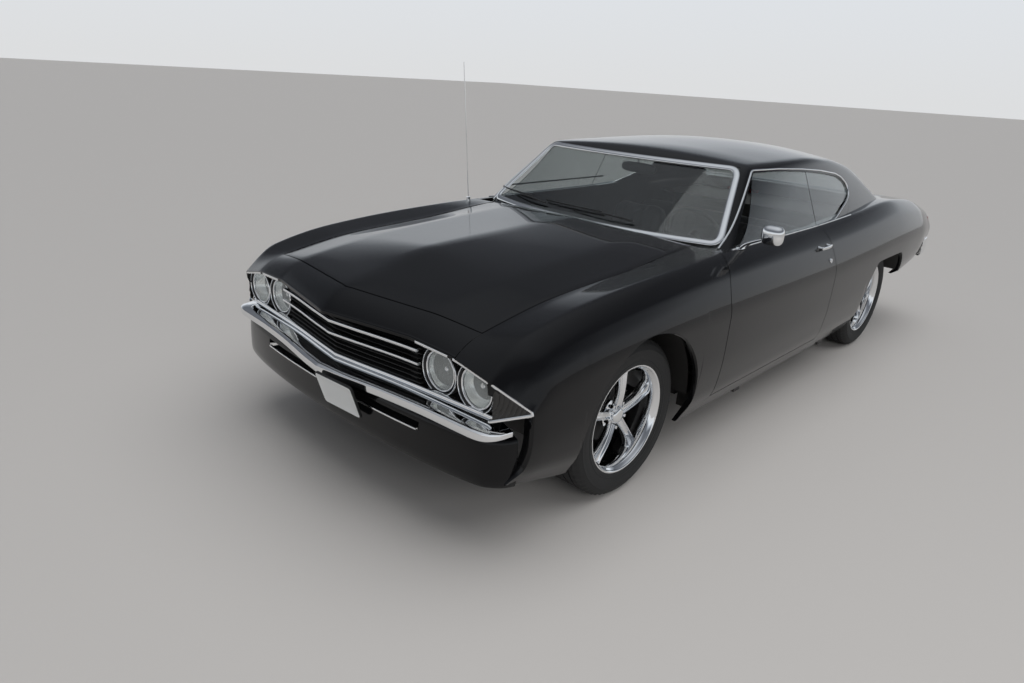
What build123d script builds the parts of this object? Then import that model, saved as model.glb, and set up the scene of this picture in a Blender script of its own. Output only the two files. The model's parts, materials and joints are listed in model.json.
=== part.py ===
from build123d import *
from math import cos, hypot, radians, sin
import os

# A two-door hardtop muscle car of the late 1960s, as it stands parked.
# Units are millimetres. +Z is up, the nose points to -Y and the driver's side is +X.
# The origin is on the ground, halfway between the bumpers and halfway across the body.

# Overall sizes
wheelbase = 2845
front_axle_y = -1580.5
rear_axle_y = front_axle_y + wheelbase
axle_z = 341
skin = 12
panel_gap = 6
seat_gap = 0.3
clearance = 5

# Lines that run along the body, measured across from the middle
fold_x = 450
seam_x = 660
lid_x = 610
shoulder_out = 0.6
shoulder_down = 0.34
flank_bulge = 8

# Body sections from nose to tail: the ridge in the middle of the top, the fold and the seam
# beside it, the crease where top meets side, the widest point, the sill and the lower edge.
# y, ridge_z, fold_z, seam_z, crease_x, crease_z, side_x, side_z, sill_x, sill_z, edge_x, edge_z
BODY_SECTIONS = [
    (-2470, 772, 742, 728, 812, 692, 905, 575, 898, 440, 870, 380),
    (-2340, 829, 798, 778, 822, 737, 922, 600, 912, 420, 872, 340),
    (-2180, 872, 848, 812, 828, 822, 940, 640, 928, 390, 876, 300),
    (-1880, 934, 892, 860, 832, 880, 952, 680, 938, 365, 880, 240),
    (-1400, 955, 930, 890, 832, 917, 961, 695, 944, 350, 880, 215),
    (-860, 972, 955, 936, 824, 934, 964, 690, 945, 345, 880, 205),
    (100, 975, 962, 946, 822, 938, 965, 680, 945, 345, 880, 205),
    (900, 980, 972, 962, 824, 962, 965, 700, 944, 355, 880, 215),
    (1450, 982, 979, 974, 806, 982, 960, 715, 938, 480, 900, 450),
    (2000, 950, 949, 947, 786, 946, 938, 710, 912, 520, 872, 488),
    (2460, 880, 879, 877, 750, 862, 876, 690, 853, 560, 822, 530),
]

# Cabin outline seen from above, at the belt and at the height where the roof is cut.
# z, front_mid_y, front_x, front_y, side_x, side_y, back_x, back_y, back_mid_y
CABIN_BELT = (900, -980, 815, -800, 828, 300, 735, 1720, 1790)
CABIN_ROOF = (1300, -447, 632, -390, 655, 300, 590, 930, 995)
cabin_top_z = 1370

# Roof crown sections: the middle height and the height at crown_x to each side
crown_x = 700
# y, middle_z, side_z
CROWN_SECTIONS = [
    (-520, 1299, 1266),
    (-200, 1325, 1276),
    (300, 1341, 1281),
    (700, 1324, 1252),
    (1000, 1286, 1204),
    (1260, 1236, 1144),
]
roof_wall = 22
glass_inset = 7
glass_wall = 5

# Windshield, side window and rear window openings
# x, z seen from the front
WINDSHIELD = [(742, 958), (611, 1268)]
# x, z seen from behind
BACKLIGHT = [(640, 992), (528, 1248)]
# y, z seen from the side, from the foot of the windshield post round to the belt
side_glass_front = [(-752, 925), (-372, 1246)]
side_glass_top = (160, 1230)
side_glass_back_top = (700, 1176)
side_glass_tip = (872, 1112)
side_glass_back = (842, 1016)
side_glass_foot = (640, 925)

# Doors
door_front_y = -985
door_back_y = 245
door_bottom_z = 295
# The front edge leaves the upright at the first point and runs back to the belt at the last
# y, z
DOOR_CORNER = [(-985, 740), (-955, 828), (-826, 1000)]
# x, z down the inner face of a door
DOOR_LINING = [(728, 860), (795, 620)]
hinge_x = 925
hinge_y = -1060
hinge_pin_r = 8
hinge_fit = 0.05
# Heights of the middle of the upper and the lower hinge
HINGE_HEIGHTS = (700, 430)
hinge_h = 60

# Hood and deck lid
hood_back_mid_y = -938
hood_back_side_y = -868
hood_seam_mid_y = -2338
hood_seam_side_y = -2232
hood_axis_y = -900
hood_axis_z = 910
hood_pin_r = 7
lid_front_y = 1800
lid_back_y = 2428
lid_axis_y = lid_front_y + 11

# Nose, seen from above: the lip over the grille and the raked end of the fender
# x, y
NOSE = [(0, -2452), (440, -2374), (817, -2345), (932, -2246), (1000, -2240)]

# Wheels and tyres
front_lip_x = 872
rear_lip_x = 859
rim_width = 226
rim_lip_r = 236
rim_barrel_r = 216
rim_wall = 7
hub_r = 42
hub_bore_r = 22
hub_depth = 58
hub_cap = 8
hub_setback = 45
spoke_setback = 62
spoke_depth = 26
spoke_root = 46
spoke_tip = 64
axle_fit = 0.05
tyre_r = 341
tyre_width = 244
tread_width = 196
bead_gap = 0.3
spoke_count = 5
arch_r = 396
arch_top_z = 655
steer_x = 690
kingpin_r = 11
drum_r = 132
drum_x = (712, 757)

# Body details
fender_back_y = -790
header_end_x = 817
lip_wall = 12
lip_z = 716
cowl_half_x = 716
cowl_top_z = 892
firewall_y = -800
post_out_x = 800
roof_seat_y = -780
room_foot_z = 200
floor_top_z = 285
floor_wall = 15
sill_in_x = 867.7
tunnel_half_x = 180
tunnel_top_z = 570
tunnel_low_z = 400
tunnel_step_y = -300
riser_y = 840
trunk_z = 515
shelf_y = 1010
shelf_z = 862
wheelhouse_x = 592
bumper_notch_y = 2186
bumper_notch_z = 646
tail_front_y = 2434
tail_foot_z = 540
tail_lamp_x = 560
tail_lamp_y = 2402
TAIL_LAMP_Z = (700, 790)
inner_fender_x = 456
inner_fender_r = 420

# Hinge parts
hinge_reach = 80
hinge_leg = 18
hinge_eye_r = 13
hood_eye_x = 584
hood_eye_width = 16
hood_eye_r = 12
hood_ear_length = 60
hood_ear_top_z = 934
lid_axis_z = 948
lid_hem_r = 11
lid_pin_r = 4
lid_bore_depth = 25

# Front and rear bumpers, seen from above: the outer line of the left half
bumper_nose_y = -2487
bumper_corner_x = 830
bumper_corner_y = -2384
bumper_end_x = 886
bumper_end_y = -2290
bumper_end_width = 22
bumper_back_inset = 26
bumper_back_mid_y = -2397
bumper_back_side_y = -2335
# Levels of the front bumper's section
# z, setback
BUMPER_LEVELS = [(498, 12), (507, 0), (532, 0), (546, 80)]
# x, y
REAR_BUMPER = [(0, 2500.5), (440, 2496), (780, 2478), (850, 2462), (890, 2420), (916, 2200)]
REAR_BUMPER_Z = (520, 640)
bar_wall = 24
rear_bumper_in_y = 2460.3
bumper_room_x = 830

# Nose: grille, mouldings, lamps, valance and plate
# x, y
GRILLE = [(0, -2388), (470, -2322), (815, -2302)]
GRILLE_Z = (558, 715)
grille_wall = 12
grille_bars = 8
grille_bar_depth = 16
grille_bar_h = 4
LAMP_X = (546, 732)
lamp_z = 647
lamp_r = 73
lamp_depth = 60
lamp_face_y = -2310
bezel_r = 86
bezel_proud = 14
MOULDING_LINE = [(0, -2424), (430, -2356), (815, -2330)]
moulding_depth = 22
# z_low, z_high, end_x
MOULDINGS = [(700, 712, 815), (646, 651, 446), (660, 666, 446)]
LOW_MOULDING_LINE = [(0, -2400), (430, -2346), (815, -2322)]
LOW_MOULDING_Z = (548, 560)
# Corner lamps: a wedge that comes to a point at the outside, under a brow of the fender
CORNER_LAMP = [(822, -2336), (900, -2268), (926, -2245)]
# x, z seen from the front
CORNER_WEDGE = [(822, 698), (928, 604), (928, 596), (822, 552)]
corner_lamp_wall = 34
brow_lift = 2
brow_foot_z = 590
VALANCE = [(0, -2430), (420, -2412), (780, -2360), (858, -2300)]
VALANCE_Z = (300, 490)
valance_wall = 14
slot_half_x = 380
SLOT_Z = (426, 466)
plate_x = 145
plate_z = 437
plate_width = 255
plate_height = 112
plate_y = -2492
plate_wall = 2
plate_bracket = 120
plate_bracket_depth = 30

# Chassis and running gear
# x, y, z along the middle of the left rail
RAIL = [(400, -2300, 380), (400, -1120, 380), (620, -860, 235.7), (620, 880, 235.7), (500, 1060, 460),
        (500, 2400, 460)]
rail_width = 60
rail_height = 68
# Brackets on the left rail: x, y and z limits
TOWER = ((370, 430), (front_axle_y - 165, front_axle_y + 125), (170, 510))
HOUSE_BRACKET = ((430, inner_fender_x - seat_gap), (front_axle_y - 165, front_axle_y - 135), (400, 460))
BUMPER_BRACKET = ((375, 425), (-2379.2, -2300), (500, 540))
VALANCE_BRACKET = ((375, 418), (-2397.8, -2300), (360, 424))
GRILLE_POST = ((380, 420), (-2316.7, -2290), (400, 700))
BODY_BRACKET = ((430, 700), (-1120, -1060), (345, 385))
FRONT_OUTRIGGER = ((650, sill_in_x), (-600, -540), (175, 205.7))
REAR_OUTRIGGER = ((650, sill_in_x), (500, 560), (175, 205.7))
RAIL_BRACKETS = [TOWER, HOUSE_BRACKET, BUMPER_BRACKET, VALANCE_BRACKET, GRILLE_POST, BODY_BRACKET,
                 FRONT_OUTRIGGER, REAR_OUTRIGGER]
# Members that cross the car between the rails
CROSS_MEMBERS = [
    ((-400, 400), (-2330, -2270), (350, 410)),
    ((-400, 400), (front_axle_y - 50, front_axle_y + 50), (230, 320)),
    ((-620, 620), (-730, -670), (170, 205)),
    ((-500, 500), (2340, 2400), (430, 490)),
]
gearbox_mount_half_x = 60
ENGINE = ((-230, 230), (-1950, -1200), (320.3, 850))
GEARBOX = ((-150, 150), (-1200, -550), (290, 550))
rear_flange_x = 745
rear_stub_x = 800
axle_tube_r = 42
differential_r = 118
shaft_r = 38
spring_r = 55
link_x = 500
exhaust_r = 26
EXHAUST_ROUTE = [(256.3, -1700, 380), (256.3, -1330, 380), (330, -1000, 232), (330, 860, 232), (345, 1060, 440),
                 (345, 1480, 440), (380, 1760, 300), (380, 2440, 300)]
SILENCER = ((260, 420), (200, 620), (186, 262))
tank_half_x = 330
TANK = ((1750, 2250), (330, 499.7))
# Heights of the lower and the upper front arm and of the pin at its outer end
ARM_LOW = ((182, 196), (182, 226))
ARM_HIGH = ((486, 500), (456, 500))
# x, y from the wheel's middle, round the arm
ARM_PLAN = [(708, -14), (708, 14), (585, 60), (430.3, 110), (430.3, 60), (560, 0), (430.3, -60), (430.3, -110),
            (585, -60)]

# Cabin: column, wheel, dash, seats
column_x = 370
wheel_rim_y = -330
wheel_rim_z = 850
column_slope = 25
column_r = 28
shaft_pin_r = 12
steering_r = 185
steering_rim_r = 11
# y, z round the dash, a front seat and the rear bench, seen from the side
DASH = [(-779.7, 640), (-779.7, 884), (-560, 896), (-492, 850), (-510, 640)]
dash_half_x = 690
FRONT_SEAT = [(-220, 285.3), (-262, 430), (-200, 472), (150, 440), (268, 900), (300, 926), (370, 915), (384, 880),
              (290, 430), (270, 285.3)]
FRONT_SEAT_X = (200, 672)
REAR_SEAT = [(480, 285.3), (462, 430), (500, 462), (720, 430), (850, 845), (900, 858), (990, 850), (1000, 515.3),
             (839.7, 515.3), (839.7, 285.3)]
rear_seat_half_x = 585

# Fittings
mirror_foot = (826, -692, 938)
mirror_head = (966, -718, 1025)
mirror_half = (51, 17, 47)
handle_y = (60, 190)
handle_z = 855
lock_y = 180
lock_z = 775
antenna_foot = (-770, -980, 930)
antenna_tip = (-799, -1021, 1690)
antenna_r = 2.5

os.makedirs("parts", exist_ok=True)


def block(x, y, z, mode=Mode.ADD):
    """A box between two limits on each axis, given as pairs of low and high."""
    with Locations(((x[0] + x[1]) / 2, (y[0] + y[1]) / 2, (z[0] + z[1]) / 2)):
        Box(x[1] - x[0], y[1] - y[0], z[1] - z[0], mode=mode)


def post(x, y, z, radius, mode=Mode.ADD):
    """An upright cylinder between two heights."""
    with Locations((x, y, (z[0] + z[1]) / 2)):
        Cylinder(radius, z[1] - z[0], mode=mode)


def both(side, x, y, z, mode=Mode.ADD):
    """A box given for the left half, on the left for side 1 or its mirror image for side -1."""
    block(sorted((side * x[0], side * x[1])), y, z, mode)


def cross_bar(x, y, z, radius, mode=Mode.ADD):
    """A round bar that runs across the car between two values of x."""
    with Locations(((x[0] + x[1]) / 2, y, z)):
        Cylinder(radius, x[1] - x[0], rotation=(0, 90, 0), mode=mode)


def beam(start, end, width, height):
    """A straight box beam from one point to another, its width level."""
    run = Vector(*end) - Vector(*start)
    level = Vector(0, 0, 1).cross(run)
    if level.length < 1e-6:
        level = Vector(1, 0, 0)
    with BuildSketch(Plane(origin=start, x_dir=level, z_dir=run)) as end_face:
        Rectangle(width, height)
    extrude(end_face.sketch, amount=run.length)


def section_at(y):
    """The body section at any y, worked out between the two listed sections around it."""
    for before, after in zip(BODY_SECTIONS, BODY_SECTIONS[1:]):
        if y <= after[0] or after is BODY_SECTIONS[-1]:
            share = (y - before[0]) / (after[0] - before[0])
            return [a + (b - a) * share for a, b in zip(before, after)]


def stations(y_low, y_high):
    """The two ends of a stretch of the body and the listed sections between them."""
    return [y_low, *[row[0] for row in BODY_SECTIONS if y_low < row[0] < y_high], y_high]


def top_line(y, x_low, x_high, inset=0):
    """Points along the top of the body at y, from x_low to x_high, moved down by inset."""
    _, ridge_z, fold_z, seam_z, crease_x, crease_z = section_at(y)[:6]
    known = [(-crease_x, crease_z), (-seam_x, seam_z), (-fold_x, fold_z), (0, ridge_z),
             (fold_x, fold_z), (seam_x, seam_z), (crease_x, crease_z)]

    def height(x):
        for (x_a, z_a), (x_b, z_b) in zip(known, known[1:]):
            if x <= x_b:
                return z_a + (z_b - z_a) * (x - x_a) / (x_b - x_a)
        return crease_z

    between = [(x, z - inset) for x, z in known if x_low < x < x_high]
    return [(x_low, height(x_low) - inset), *between, (x_high, height(x_high) - inset)]


def side_line(y, inset=0):
    """Points down the left side of the body at y, moved inwards by inset.

    They are the crease, the shoulder, the widest point, the flank, the sill and the lower edge.
    """
    _, _, _, _, crease_x, crease_z, side_x, side_z, sill_x, sill_z, edge_x, edge_z = section_at(y)
    shoulder_x = crease_x + shoulder_out * (side_x - crease_x)
    shoulder_z = crease_z - shoulder_down * (crease_z - side_z)
    flank_x = (side_x + sill_x) / 2 + flank_bulge
    return [(crease_x - inset, crease_z - inset), (shoulder_x - inset, shoulder_z - inset / 2),
            (side_x - inset, side_z), (flank_x - inset, (side_z + sill_z) / 2),
            (sill_x - inset, sill_z), (edge_x - inset, edge_z)]


def side_curve(points, side=1):
    """The curved stretch of a side line, from the crease to the sill, as two arcs."""
    crease, shoulder, widest, flank, sill = [(side * x, z) for x, z in points[:5]]
    return [ThreePointArc(crease, shoulder, widest), ThreePointArc(widest, flank, sill)]


def skinned(faces):
    """A form through a row of faces, straight from each one to the next."""
    with BuildPart() as form:
        for front, back in zip(faces, faces[1:]):
            loft([front, back], ruled=True)
    return form.part


def top_panel(y_low, y_high, x_low, x_high, wall=skin):
    """A panel of the body's top between two lengthwise lines."""
    faces = []
    for y in stations(y_low, y_high):
        with BuildSketch(Plane.XZ.offset(-y)) as face:
            with BuildLine():
                Polyline(*top_line(y, x_low, x_high), *reversed(top_line(y, x_low, x_high, wall)), close=True)
            make_face()
        faces.append(face.sketch)
    return skinned(faces)


def side_panel(y_low, y_high, top_x, wall=skin):
    """A panel of the left side, from top_x on the top round the crease to the lower edge."""
    faces = []
    for y in stations(y_low, y_high):
        outer = side_line(y)
        inner = side_line(y, wall)
        top = top_line(y, top_x, outer[0][0])[:-1]
        under = [(x, z - wall) for x, z in top]
        with BuildSketch(Plane.XZ.offset(-y)) as face:
            with BuildLine():
                Polyline(*top, outer[0])
                side_curve(outer)
                Polyline(outer[4], outer[5], inner[5], inner[4])
                side_curve(inner)
                Polyline(inner[0], *reversed(under), top[0])
            make_face()
        faces.append(face.sketch)
    return skinned(faces)


def side_block(y_low, y_high, inner):
    """A thick piece of the left side: the outer line closed by a given inner line, foot last."""
    faces = []
    for y in stations(y_low, y_high):
        outer = side_line(y)
        top = top_line(y, inner[0][0], outer[0][0])[0]
        with BuildSketch(Plane.XZ.offset(-y)) as face:
            with BuildLine():
                Line(top, outer[0])
                side_curve(outer)
                Polyline(outer[4], outer[5], (inner[-1][0], outer[5][1]), *reversed(inner), top)
            make_face()
        faces.append(face.sketch)
    return skinned(faces)


def body_block(y_low, y_high, inset, foot_z):
    """The room inside the body skin between two values of y, down to foot_z."""
    faces = []
    for y in stations(y_low, y_high):
        line = side_line(y, inset)
        top = top_line(y, -line[0][0], line[0][0], inset)
        with BuildSketch(Plane.XZ.offset(-y)) as face:
            with BuildLine():
                Polyline(line[0], *reversed(top[1:-1]), (-line[0][0], line[0][1]))
                side_curve(line)
                side_curve(line, -1)
                Polyline((-line[4][0], line[4][1]), (-line[5][0], foot_z), (line[5][0], foot_z), line[4])
            make_face()
        faces.append(face.sketch)
    return skinned(faces)


def cabin_face(z, inset):
    """The cabin's outline at height z, worked out between the belt and the roof values."""
    share = (z - CABIN_BELT[0]) / (CABIN_ROOF[0] - CABIN_BELT[0])
    level = [a + (b - a) * share for a, b in zip(CABIN_BELT, CABIN_ROOF)]
    _, front_mid_y, front_x, front_y, side_x, side_y, back_x, back_y, back_mid_y = level
    front = (front_x - inset, front_y + inset)
    back = (back_x - inset, back_y - inset)
    side = (side_x - inset, side_y)
    with BuildSketch(Plane.XY.offset(z)) as face:
        with BuildLine():
            ThreePointArc((-front[0], front[1]), (0, front_mid_y + inset), front)
            ThreePointArc(front, side, back)
            ThreePointArc(back, (0, back_mid_y - inset), (-back[0], back[1]))
            ThreePointArc((-back[0], back[1]), (-side[0], side[1]), (-front[0], front[1]))
        make_face()
    return face.sketch


def cabin_shape(inset=0):
    """The cabin above the belt as one closed form: raked sides cut by the roof crown."""
    with BuildPart() as sides:
        loft([cabin_face(z, inset) for z in (CABIN_BELT[0] - 30, cabin_top_z)], ruled=True)
    faces = []
    for y, middle_z, side_z in CROWN_SECTIONS:
        with BuildSketch(Plane.XZ.offset(-y)) as face:
            with BuildLine():
                ThreePointArc((-crown_x, side_z - inset), (0, middle_z - inset), (crown_x, side_z - inset))
                Polyline((crown_x, side_z - inset), (crown_x, 1500), (-crown_x, 1500), (-crown_x, side_z - inset))
            make_face()
        faces.append(face.sketch)
    with BuildPart() as shape:
        add(sides.part)
        add(skinned(faces), mode=Mode.SUBTRACT)
    return shape.part


def front_prism(outline, y_low, y_high):
    """A prism through the car whose outline, given for the left half, is seen from the front."""
    points = outline + [(-x, z) for x, z in reversed(outline)]
    with BuildPart() as prism:
        with BuildSketch(Plane.XZ.offset(-y_high)):
            with BuildLine():
                Polyline(*points, close=True)
            make_face()
        extrude(amount=y_high - y_low)
    return prism.part


def side_prism(grow=0, y_low=-2000, y_high=2000):
    """A prism across the car with the outline of the side windows, made larger by grow."""
    with BuildPart() as prism:
        with BuildSketch(Plane.YZ.offset(-1000)):
            with BuildLine():
                Polyline(side_glass_foot, (side_glass_foot[0], 860), (side_glass_front[0][0], 860), *side_glass_front)
                ThreePointArc(side_glass_front[1], side_glass_top, side_glass_back_top)
                Line(side_glass_back_top, side_glass_tip)
                ThreePointArc(side_glass_tip, side_glass_back, side_glass_foot)
            make_face()
            if grow:
                offset(amount=grow)
        extrude(amount=2000)
        block((-1100, 1100), (y_low, y_high), (700, 1500), mode=Mode.INTERSECT)
    return prism.part


# Seen from above, everything behind the nose line
with BuildPart() as behind_nose:
    with BuildSketch():
        with BuildLine():
            right = [(-x, y) for x, y in NOSE[1:]]
            Polyline(*reversed(right), *NOSE, (1000, 2600), (-1000, 2600), close=True)
        make_face()
    extrude(amount=1500)


def hood_region(grow):
    """The plan of the hood, from the seam behind the header to the edge at the windshield."""
    x = seam_x + grow
    back_y = hood_back_side_y + grow
    with BuildPart() as region:
        with BuildSketch(Plane.XY.offset(500)):
            with BuildLine():
                Polyline((-x, back_y), (-x, hood_seam_side_y - grow), (0, hood_seam_mid_y - grow),
                         (x, hood_seam_side_y - grow), (x, back_y))
                ThreePointArc((x, back_y), (0, hood_back_mid_y + grow), (-x, back_y))
            make_face()
        extrude(amount=700)
    return region.part


def wheel_opening(axle_y, radius, top_z=1500):
    """The room of a wheel opening on the left: round, open at the foot, cut off level at top_z."""
    with BuildPart() as opening:
        cross_bar((0, 1100), axle_y, axle_z, radius)
        block((0, 1100), (axle_y - radius, axle_y + radius), (0, axle_z))
        block((0, 1100), (axle_y - radius, axle_y + radius), (0, top_z), mode=Mode.INTERSECT)
    return opening.part


def door_edge(grow):
    """The side view of a door, made larger all round by grow, as a prism across the car."""
    with BuildPart() as prism:
        with BuildSketch(Plane.YZ.offset(-1100)):
            with BuildLine():
                Polyline(DOOR_CORNER[0], (door_front_y, door_bottom_z), (1000, door_bottom_z),
                         (1000, DOOR_CORNER[2][1]), DOOR_CORNER[2])
                ThreePointArc(DOOR_CORNER[0], DOOR_CORNER[1], DOOR_CORNER[2])
            make_face()
            if grow:
                offset(amount=grow, kind=Kind.INTERSECTION)
        extrude(amount=2200)
    return prism.part


def door_sweep(grow):
    """The left half of the car, seen from above, out to the arc that the door's back edge moves along."""
    with BuildPart() as sweep:
        post(hinge_x, hinge_y, (0, 1500), door_back_y - hinge_y + grow)
        block((0, 1500), (-3000, 3000), (0, 1500), mode=Mode.INTERSECT)
    return sweep.part


def door_relief():
    """The room round the left hinge pins that a door leaves, so that it swings past the fender's edge."""
    reach = door_front_y - panel_gap - hinge_y
    points = [(hypot(reach, max(x - hinge_x, 0) + clearance), z) for x, z in side_line(door_front_y)[1:]]
    with BuildPart() as relief:
        with BuildSketch(Plane(origin=(hinge_x, hinge_y, 0), x_dir=(1, 0, 0), z_dir=(0, -1, 0))):
            with BuildLine():
                Polyline((0, points[0][1]), *points, (0, points[-1][1]), close=True)
            make_face()
        revolve(axis=Axis((hinge_x, hinge_y, 0), (0, 0, 1)))
    return relief.part


def profile(points, x_low, x_high):
    """A block across the car whose outline is given as y, z seen from the side."""
    with BuildSketch(Plane.YZ.offset(x_low)) as face:
        with BuildLine():
            Polyline(*points, close=True)
        make_face()
    extrude(face.sketch, amount=x_high - x_low)


def plan_band(outer, inner, z_low, z_high):
    """An upright band between two outlines of the left half seen from above, and its mirror image."""
    points = outer + list(reversed(inner))
    with BuildPart() as band:
        for side in (1, -1):
            with BuildSketch(Plane.XY.offset(z_low)):
                with BuildLine():
                    Polyline(*[(side * x, y) for x, y in points], close=True)
                make_face()
            extrude(amount=z_high - z_low)
    return band.part


cabin_outer = cabin_shape()
cabin_inner = cabin_shape(roof_wall)
cabin_cover = cabin_shape(-seat_gap)
pane = cabin_shape(glass_inset) - cabin_shape(glass_inset + glass_wall)
door_shape = door_edge(0)
door_hole = door_edge(panel_gap)
window_hole = side_prism()
body_room = body_block(BODY_SECTIONS[0][0], BODY_SECTIONS[-1][0], skin + seat_gap, room_foot_z)

# Hood, with an eye on each side that turns on the cowl's pins
hood_half_x = seam_x - panel_gap / 2
with BuildPart() as hood:
    add(top_panel(hood_seam_mid_y - 10, hood_back_side_y + 10, -hood_half_x, hood_half_x))
    add(hood_region(-panel_gap / 2), mode=Mode.INTERSECT)
    for side in (1, -1):
        x = sorted((side * hood_eye_x, side * (hood_eye_x + hood_eye_width)))
        cross_bar(x, hood_axis_y, hood_axis_z, hood_eye_r)
        block(x, (hood_axis_y - hood_ear_length, hood_axis_y), (hood_axis_z - hood_eye_r, hood_ear_top_z))
        cross_bar(x, hood_axis_y, hood_axis_z, hood_pin_r + hinge_fit, mode=Mode.SUBTRACT)

# Panel over the grille, with the lip that hangs down from its front edge
lip_line = [(x, y) for x, y in NOSE if x <= header_end_x]
with BuildPart() as header_panel:
    add(top_panel(BODY_SECTIONS[0][0], hood_seam_side_y, -seam_x, seam_x))
    add(hood_region(panel_gap / 2), mode=Mode.SUBTRACT)
    add(behind_nose.part, mode=Mode.INTERSECT)
with BuildPart() as header_lip:
    add(plan_band(lip_line, [(x, y + lip_wall) for x, y in lip_line], lip_z, 900))
    add(body_block(BODY_SECTIONS[0][0], hood_seam_side_y, seat_gap, 300), mode=Mode.INTERSECT)
    block((-seam_x, seam_x), (-2600, -2000), (lip_z, 900), mode=Mode.INTERSECT)
with BuildPart() as header_whole:
    add(header_panel.part)
    add(header_lip.part)

# Fenders, each with a brow that closes the corner above the wedge of the lamp
wedge_in, wedge_out = CORNER_WEDGE[:2]
brow_line = NOSE[2:4]
with BuildPart() as brow:
    add(plan_band(brow_line, [(x, y + lip_wall) for x, y in brow_line], brow_foot_z, 900))
    add(body_block(BODY_SECTIONS[0][0], hood_seam_side_y, seat_gap, 300), mode=Mode.INTERSECT)
    add(front_prism([(wedge_in[0], wedge_in[1] + brow_lift), (wedge_out[0], wedge_out[1] + brow_lift),
                     (1000, wedge_out[1] + brow_lift), (1000, 900)], -2600, -2000), mode=Mode.INTERSECT)
    block((header_end_x, 1000), (-2600, -2000), (0, 900), mode=Mode.INTERSECT)
with BuildPart() as fenders:
    add(side_panel(BODY_SECTIONS[0][0], fender_back_y, seam_x + seat_gap))
    add(behind_nose.part, mode=Mode.INTERSECT)
    add(cabin_cover, mode=Mode.SUBTRACT)
    add(door_hole, mode=Mode.SUBTRACT)
    block((0, 1100), (door_front_y - panel_gap, 0), (0, 600), mode=Mode.SUBTRACT)
    add(wheel_opening(front_axle_y, arch_r), mode=Mode.SUBTRACT)
    add(brow.part)
    mirror(about=Plane.YZ)

# Doors, each a closed thick block with two hinge arms that reach round the pins inside the fender
with BuildPart() as door_left:
    add(side_block(door_front_y - 20, door_back_y + 20, DOOR_LINING))
    add(door_shape, mode=Mode.INTERSECT)
    add(door_sweep(0), mode=Mode.INTERSECT)
    add(door_relief(), mode=Mode.SUBTRACT)
    for z in HINGE_HEIGHTS:
        arm_z = (z - hinge_h / 4, z + hinge_h / 4)
        block((hinge_x - hinge_reach, hinge_x), (hinge_y - hinge_eye_r, hinge_y + hinge_eye_r), arm_z)
        block((hinge_x - hinge_reach, hinge_x - hinge_reach + hinge_leg),
              (hinge_y, door_front_y + 5), arm_z)
        post(hinge_x, hinge_y, arm_z, hinge_eye_r)
        post(hinge_x, hinge_y, arm_z, hinge_pin_r + hinge_fit, mode=Mode.SUBTRACT)

# Roof with the windshield frame, the sails and the drip edge, in one pressing
with BuildPart() as roof_seat:
    add(body_block(roof_seat_y, 1950, -seat_gap, room_foot_z))
with BuildPart() as door_room:
    add(body_block(-1000, door_back_y + panel_gap, -panel_gap, room_foot_z))
    block((-cowl_half_x, cowl_half_x), (-1000, roof_seat_y), (0, 1500), mode=Mode.SUBTRACT)
with BuildPart() as roof:
    add(cabin_outer)
    add(cabin_inner, mode=Mode.SUBTRACT)
    add(front_prism(WINDSHIELD, -1500, 200), mode=Mode.SUBTRACT)
    add(front_prism(BACKLIGHT, 500, 2000), mode=Mode.SUBTRACT)
    add(window_hole, mode=Mode.SUBTRACT)
    for side in (1, -1):
        x = sorted((side * (cowl_half_x - 30), side * (WINDSHIELD[0][0] + 30)))
        block(x, (-840, -770), (cowl_top_z, WINDSHIELD[0][1] - seat_gap))
    add(cabin_outer, mode=Mode.INTERSECT)
    add(roof_seat.part, mode=Mode.SUBTRACT)
    add(door_room.part, mode=Mode.SUBTRACT)
    block((-900, 900), (-1100, -700), (800, cowl_top_z + seat_gap), mode=Mode.SUBTRACT)

# Glass, set back from the outer surface by the depth of the opening's edge
with BuildPart() as windshield:
    add(pane)
    add(front_prism(WINDSHIELD, -1500, 200), mode=Mode.INTERSECT)
with BuildPart() as backlight:
    add(pane)
    add(front_prism(BACKLIGHT, 500, 2000), mode=Mode.INTERSECT)
with BuildPart() as door_glass_left:
    add(pane)
    add(side_prism(-panel_gap), mode=Mode.INTERSECT)
    add(door_sweep(0), mode=Mode.INTERSECT)
    add(door_left.part, mode=Mode.SUBTRACT)
    block((0, 1000), (-1000, 1000), (900, 1500), mode=Mode.INTERSECT)

# Quarter panels with the rockers, joined behind the rear window, and the pins of the deck lid
with BuildPart() as quarter_cut:
    add(door_hole)
    add(door_sweep(panel_gap), mode=Mode.INTERSECT)
with BuildPart() as quarters:
    add(side_panel(door_front_y - panel_gap + seat_gap, BODY_SECTIONS[-1][0], lid_x + panel_gap / 2))
    add(quarter_cut.part, mode=Mode.SUBTRACT)
    block((0, 1100), (-1100, -600), (door_bottom_z, 1100), mode=Mode.SUBTRACT)
    add(wheel_opening(rear_axle_y, arch_r, arch_top_z), mode=Mode.SUBTRACT)
    block((0, 1100), (bumper_notch_y, 2600), (0, bumper_notch_z), mode=Mode.SUBTRACT)
    cross_bar((lid_x - lid_bore_depth, lid_x + 10), lid_axis_y, lid_axis_z, lid_pin_r)
    mirror(about=Plane.YZ)
    add(top_panel(1500, lid_axis_y - lid_hem_r - panel_gap, -lid_x - 10, lid_x + 10))
    add(cabin_inner, mode=Mode.SUBTRACT)
    for side in (1, -1):
        x = sorted((side * (tail_lamp_x - seat_gap), side * 1100))
        block(x, (tail_lamp_y - seat_gap, 2600), (TAIL_LAMP_Z[0] - seat_gap, TAIL_LAMP_Z[1] + seat_gap),
              mode=Mode.SUBTRACT)

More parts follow.
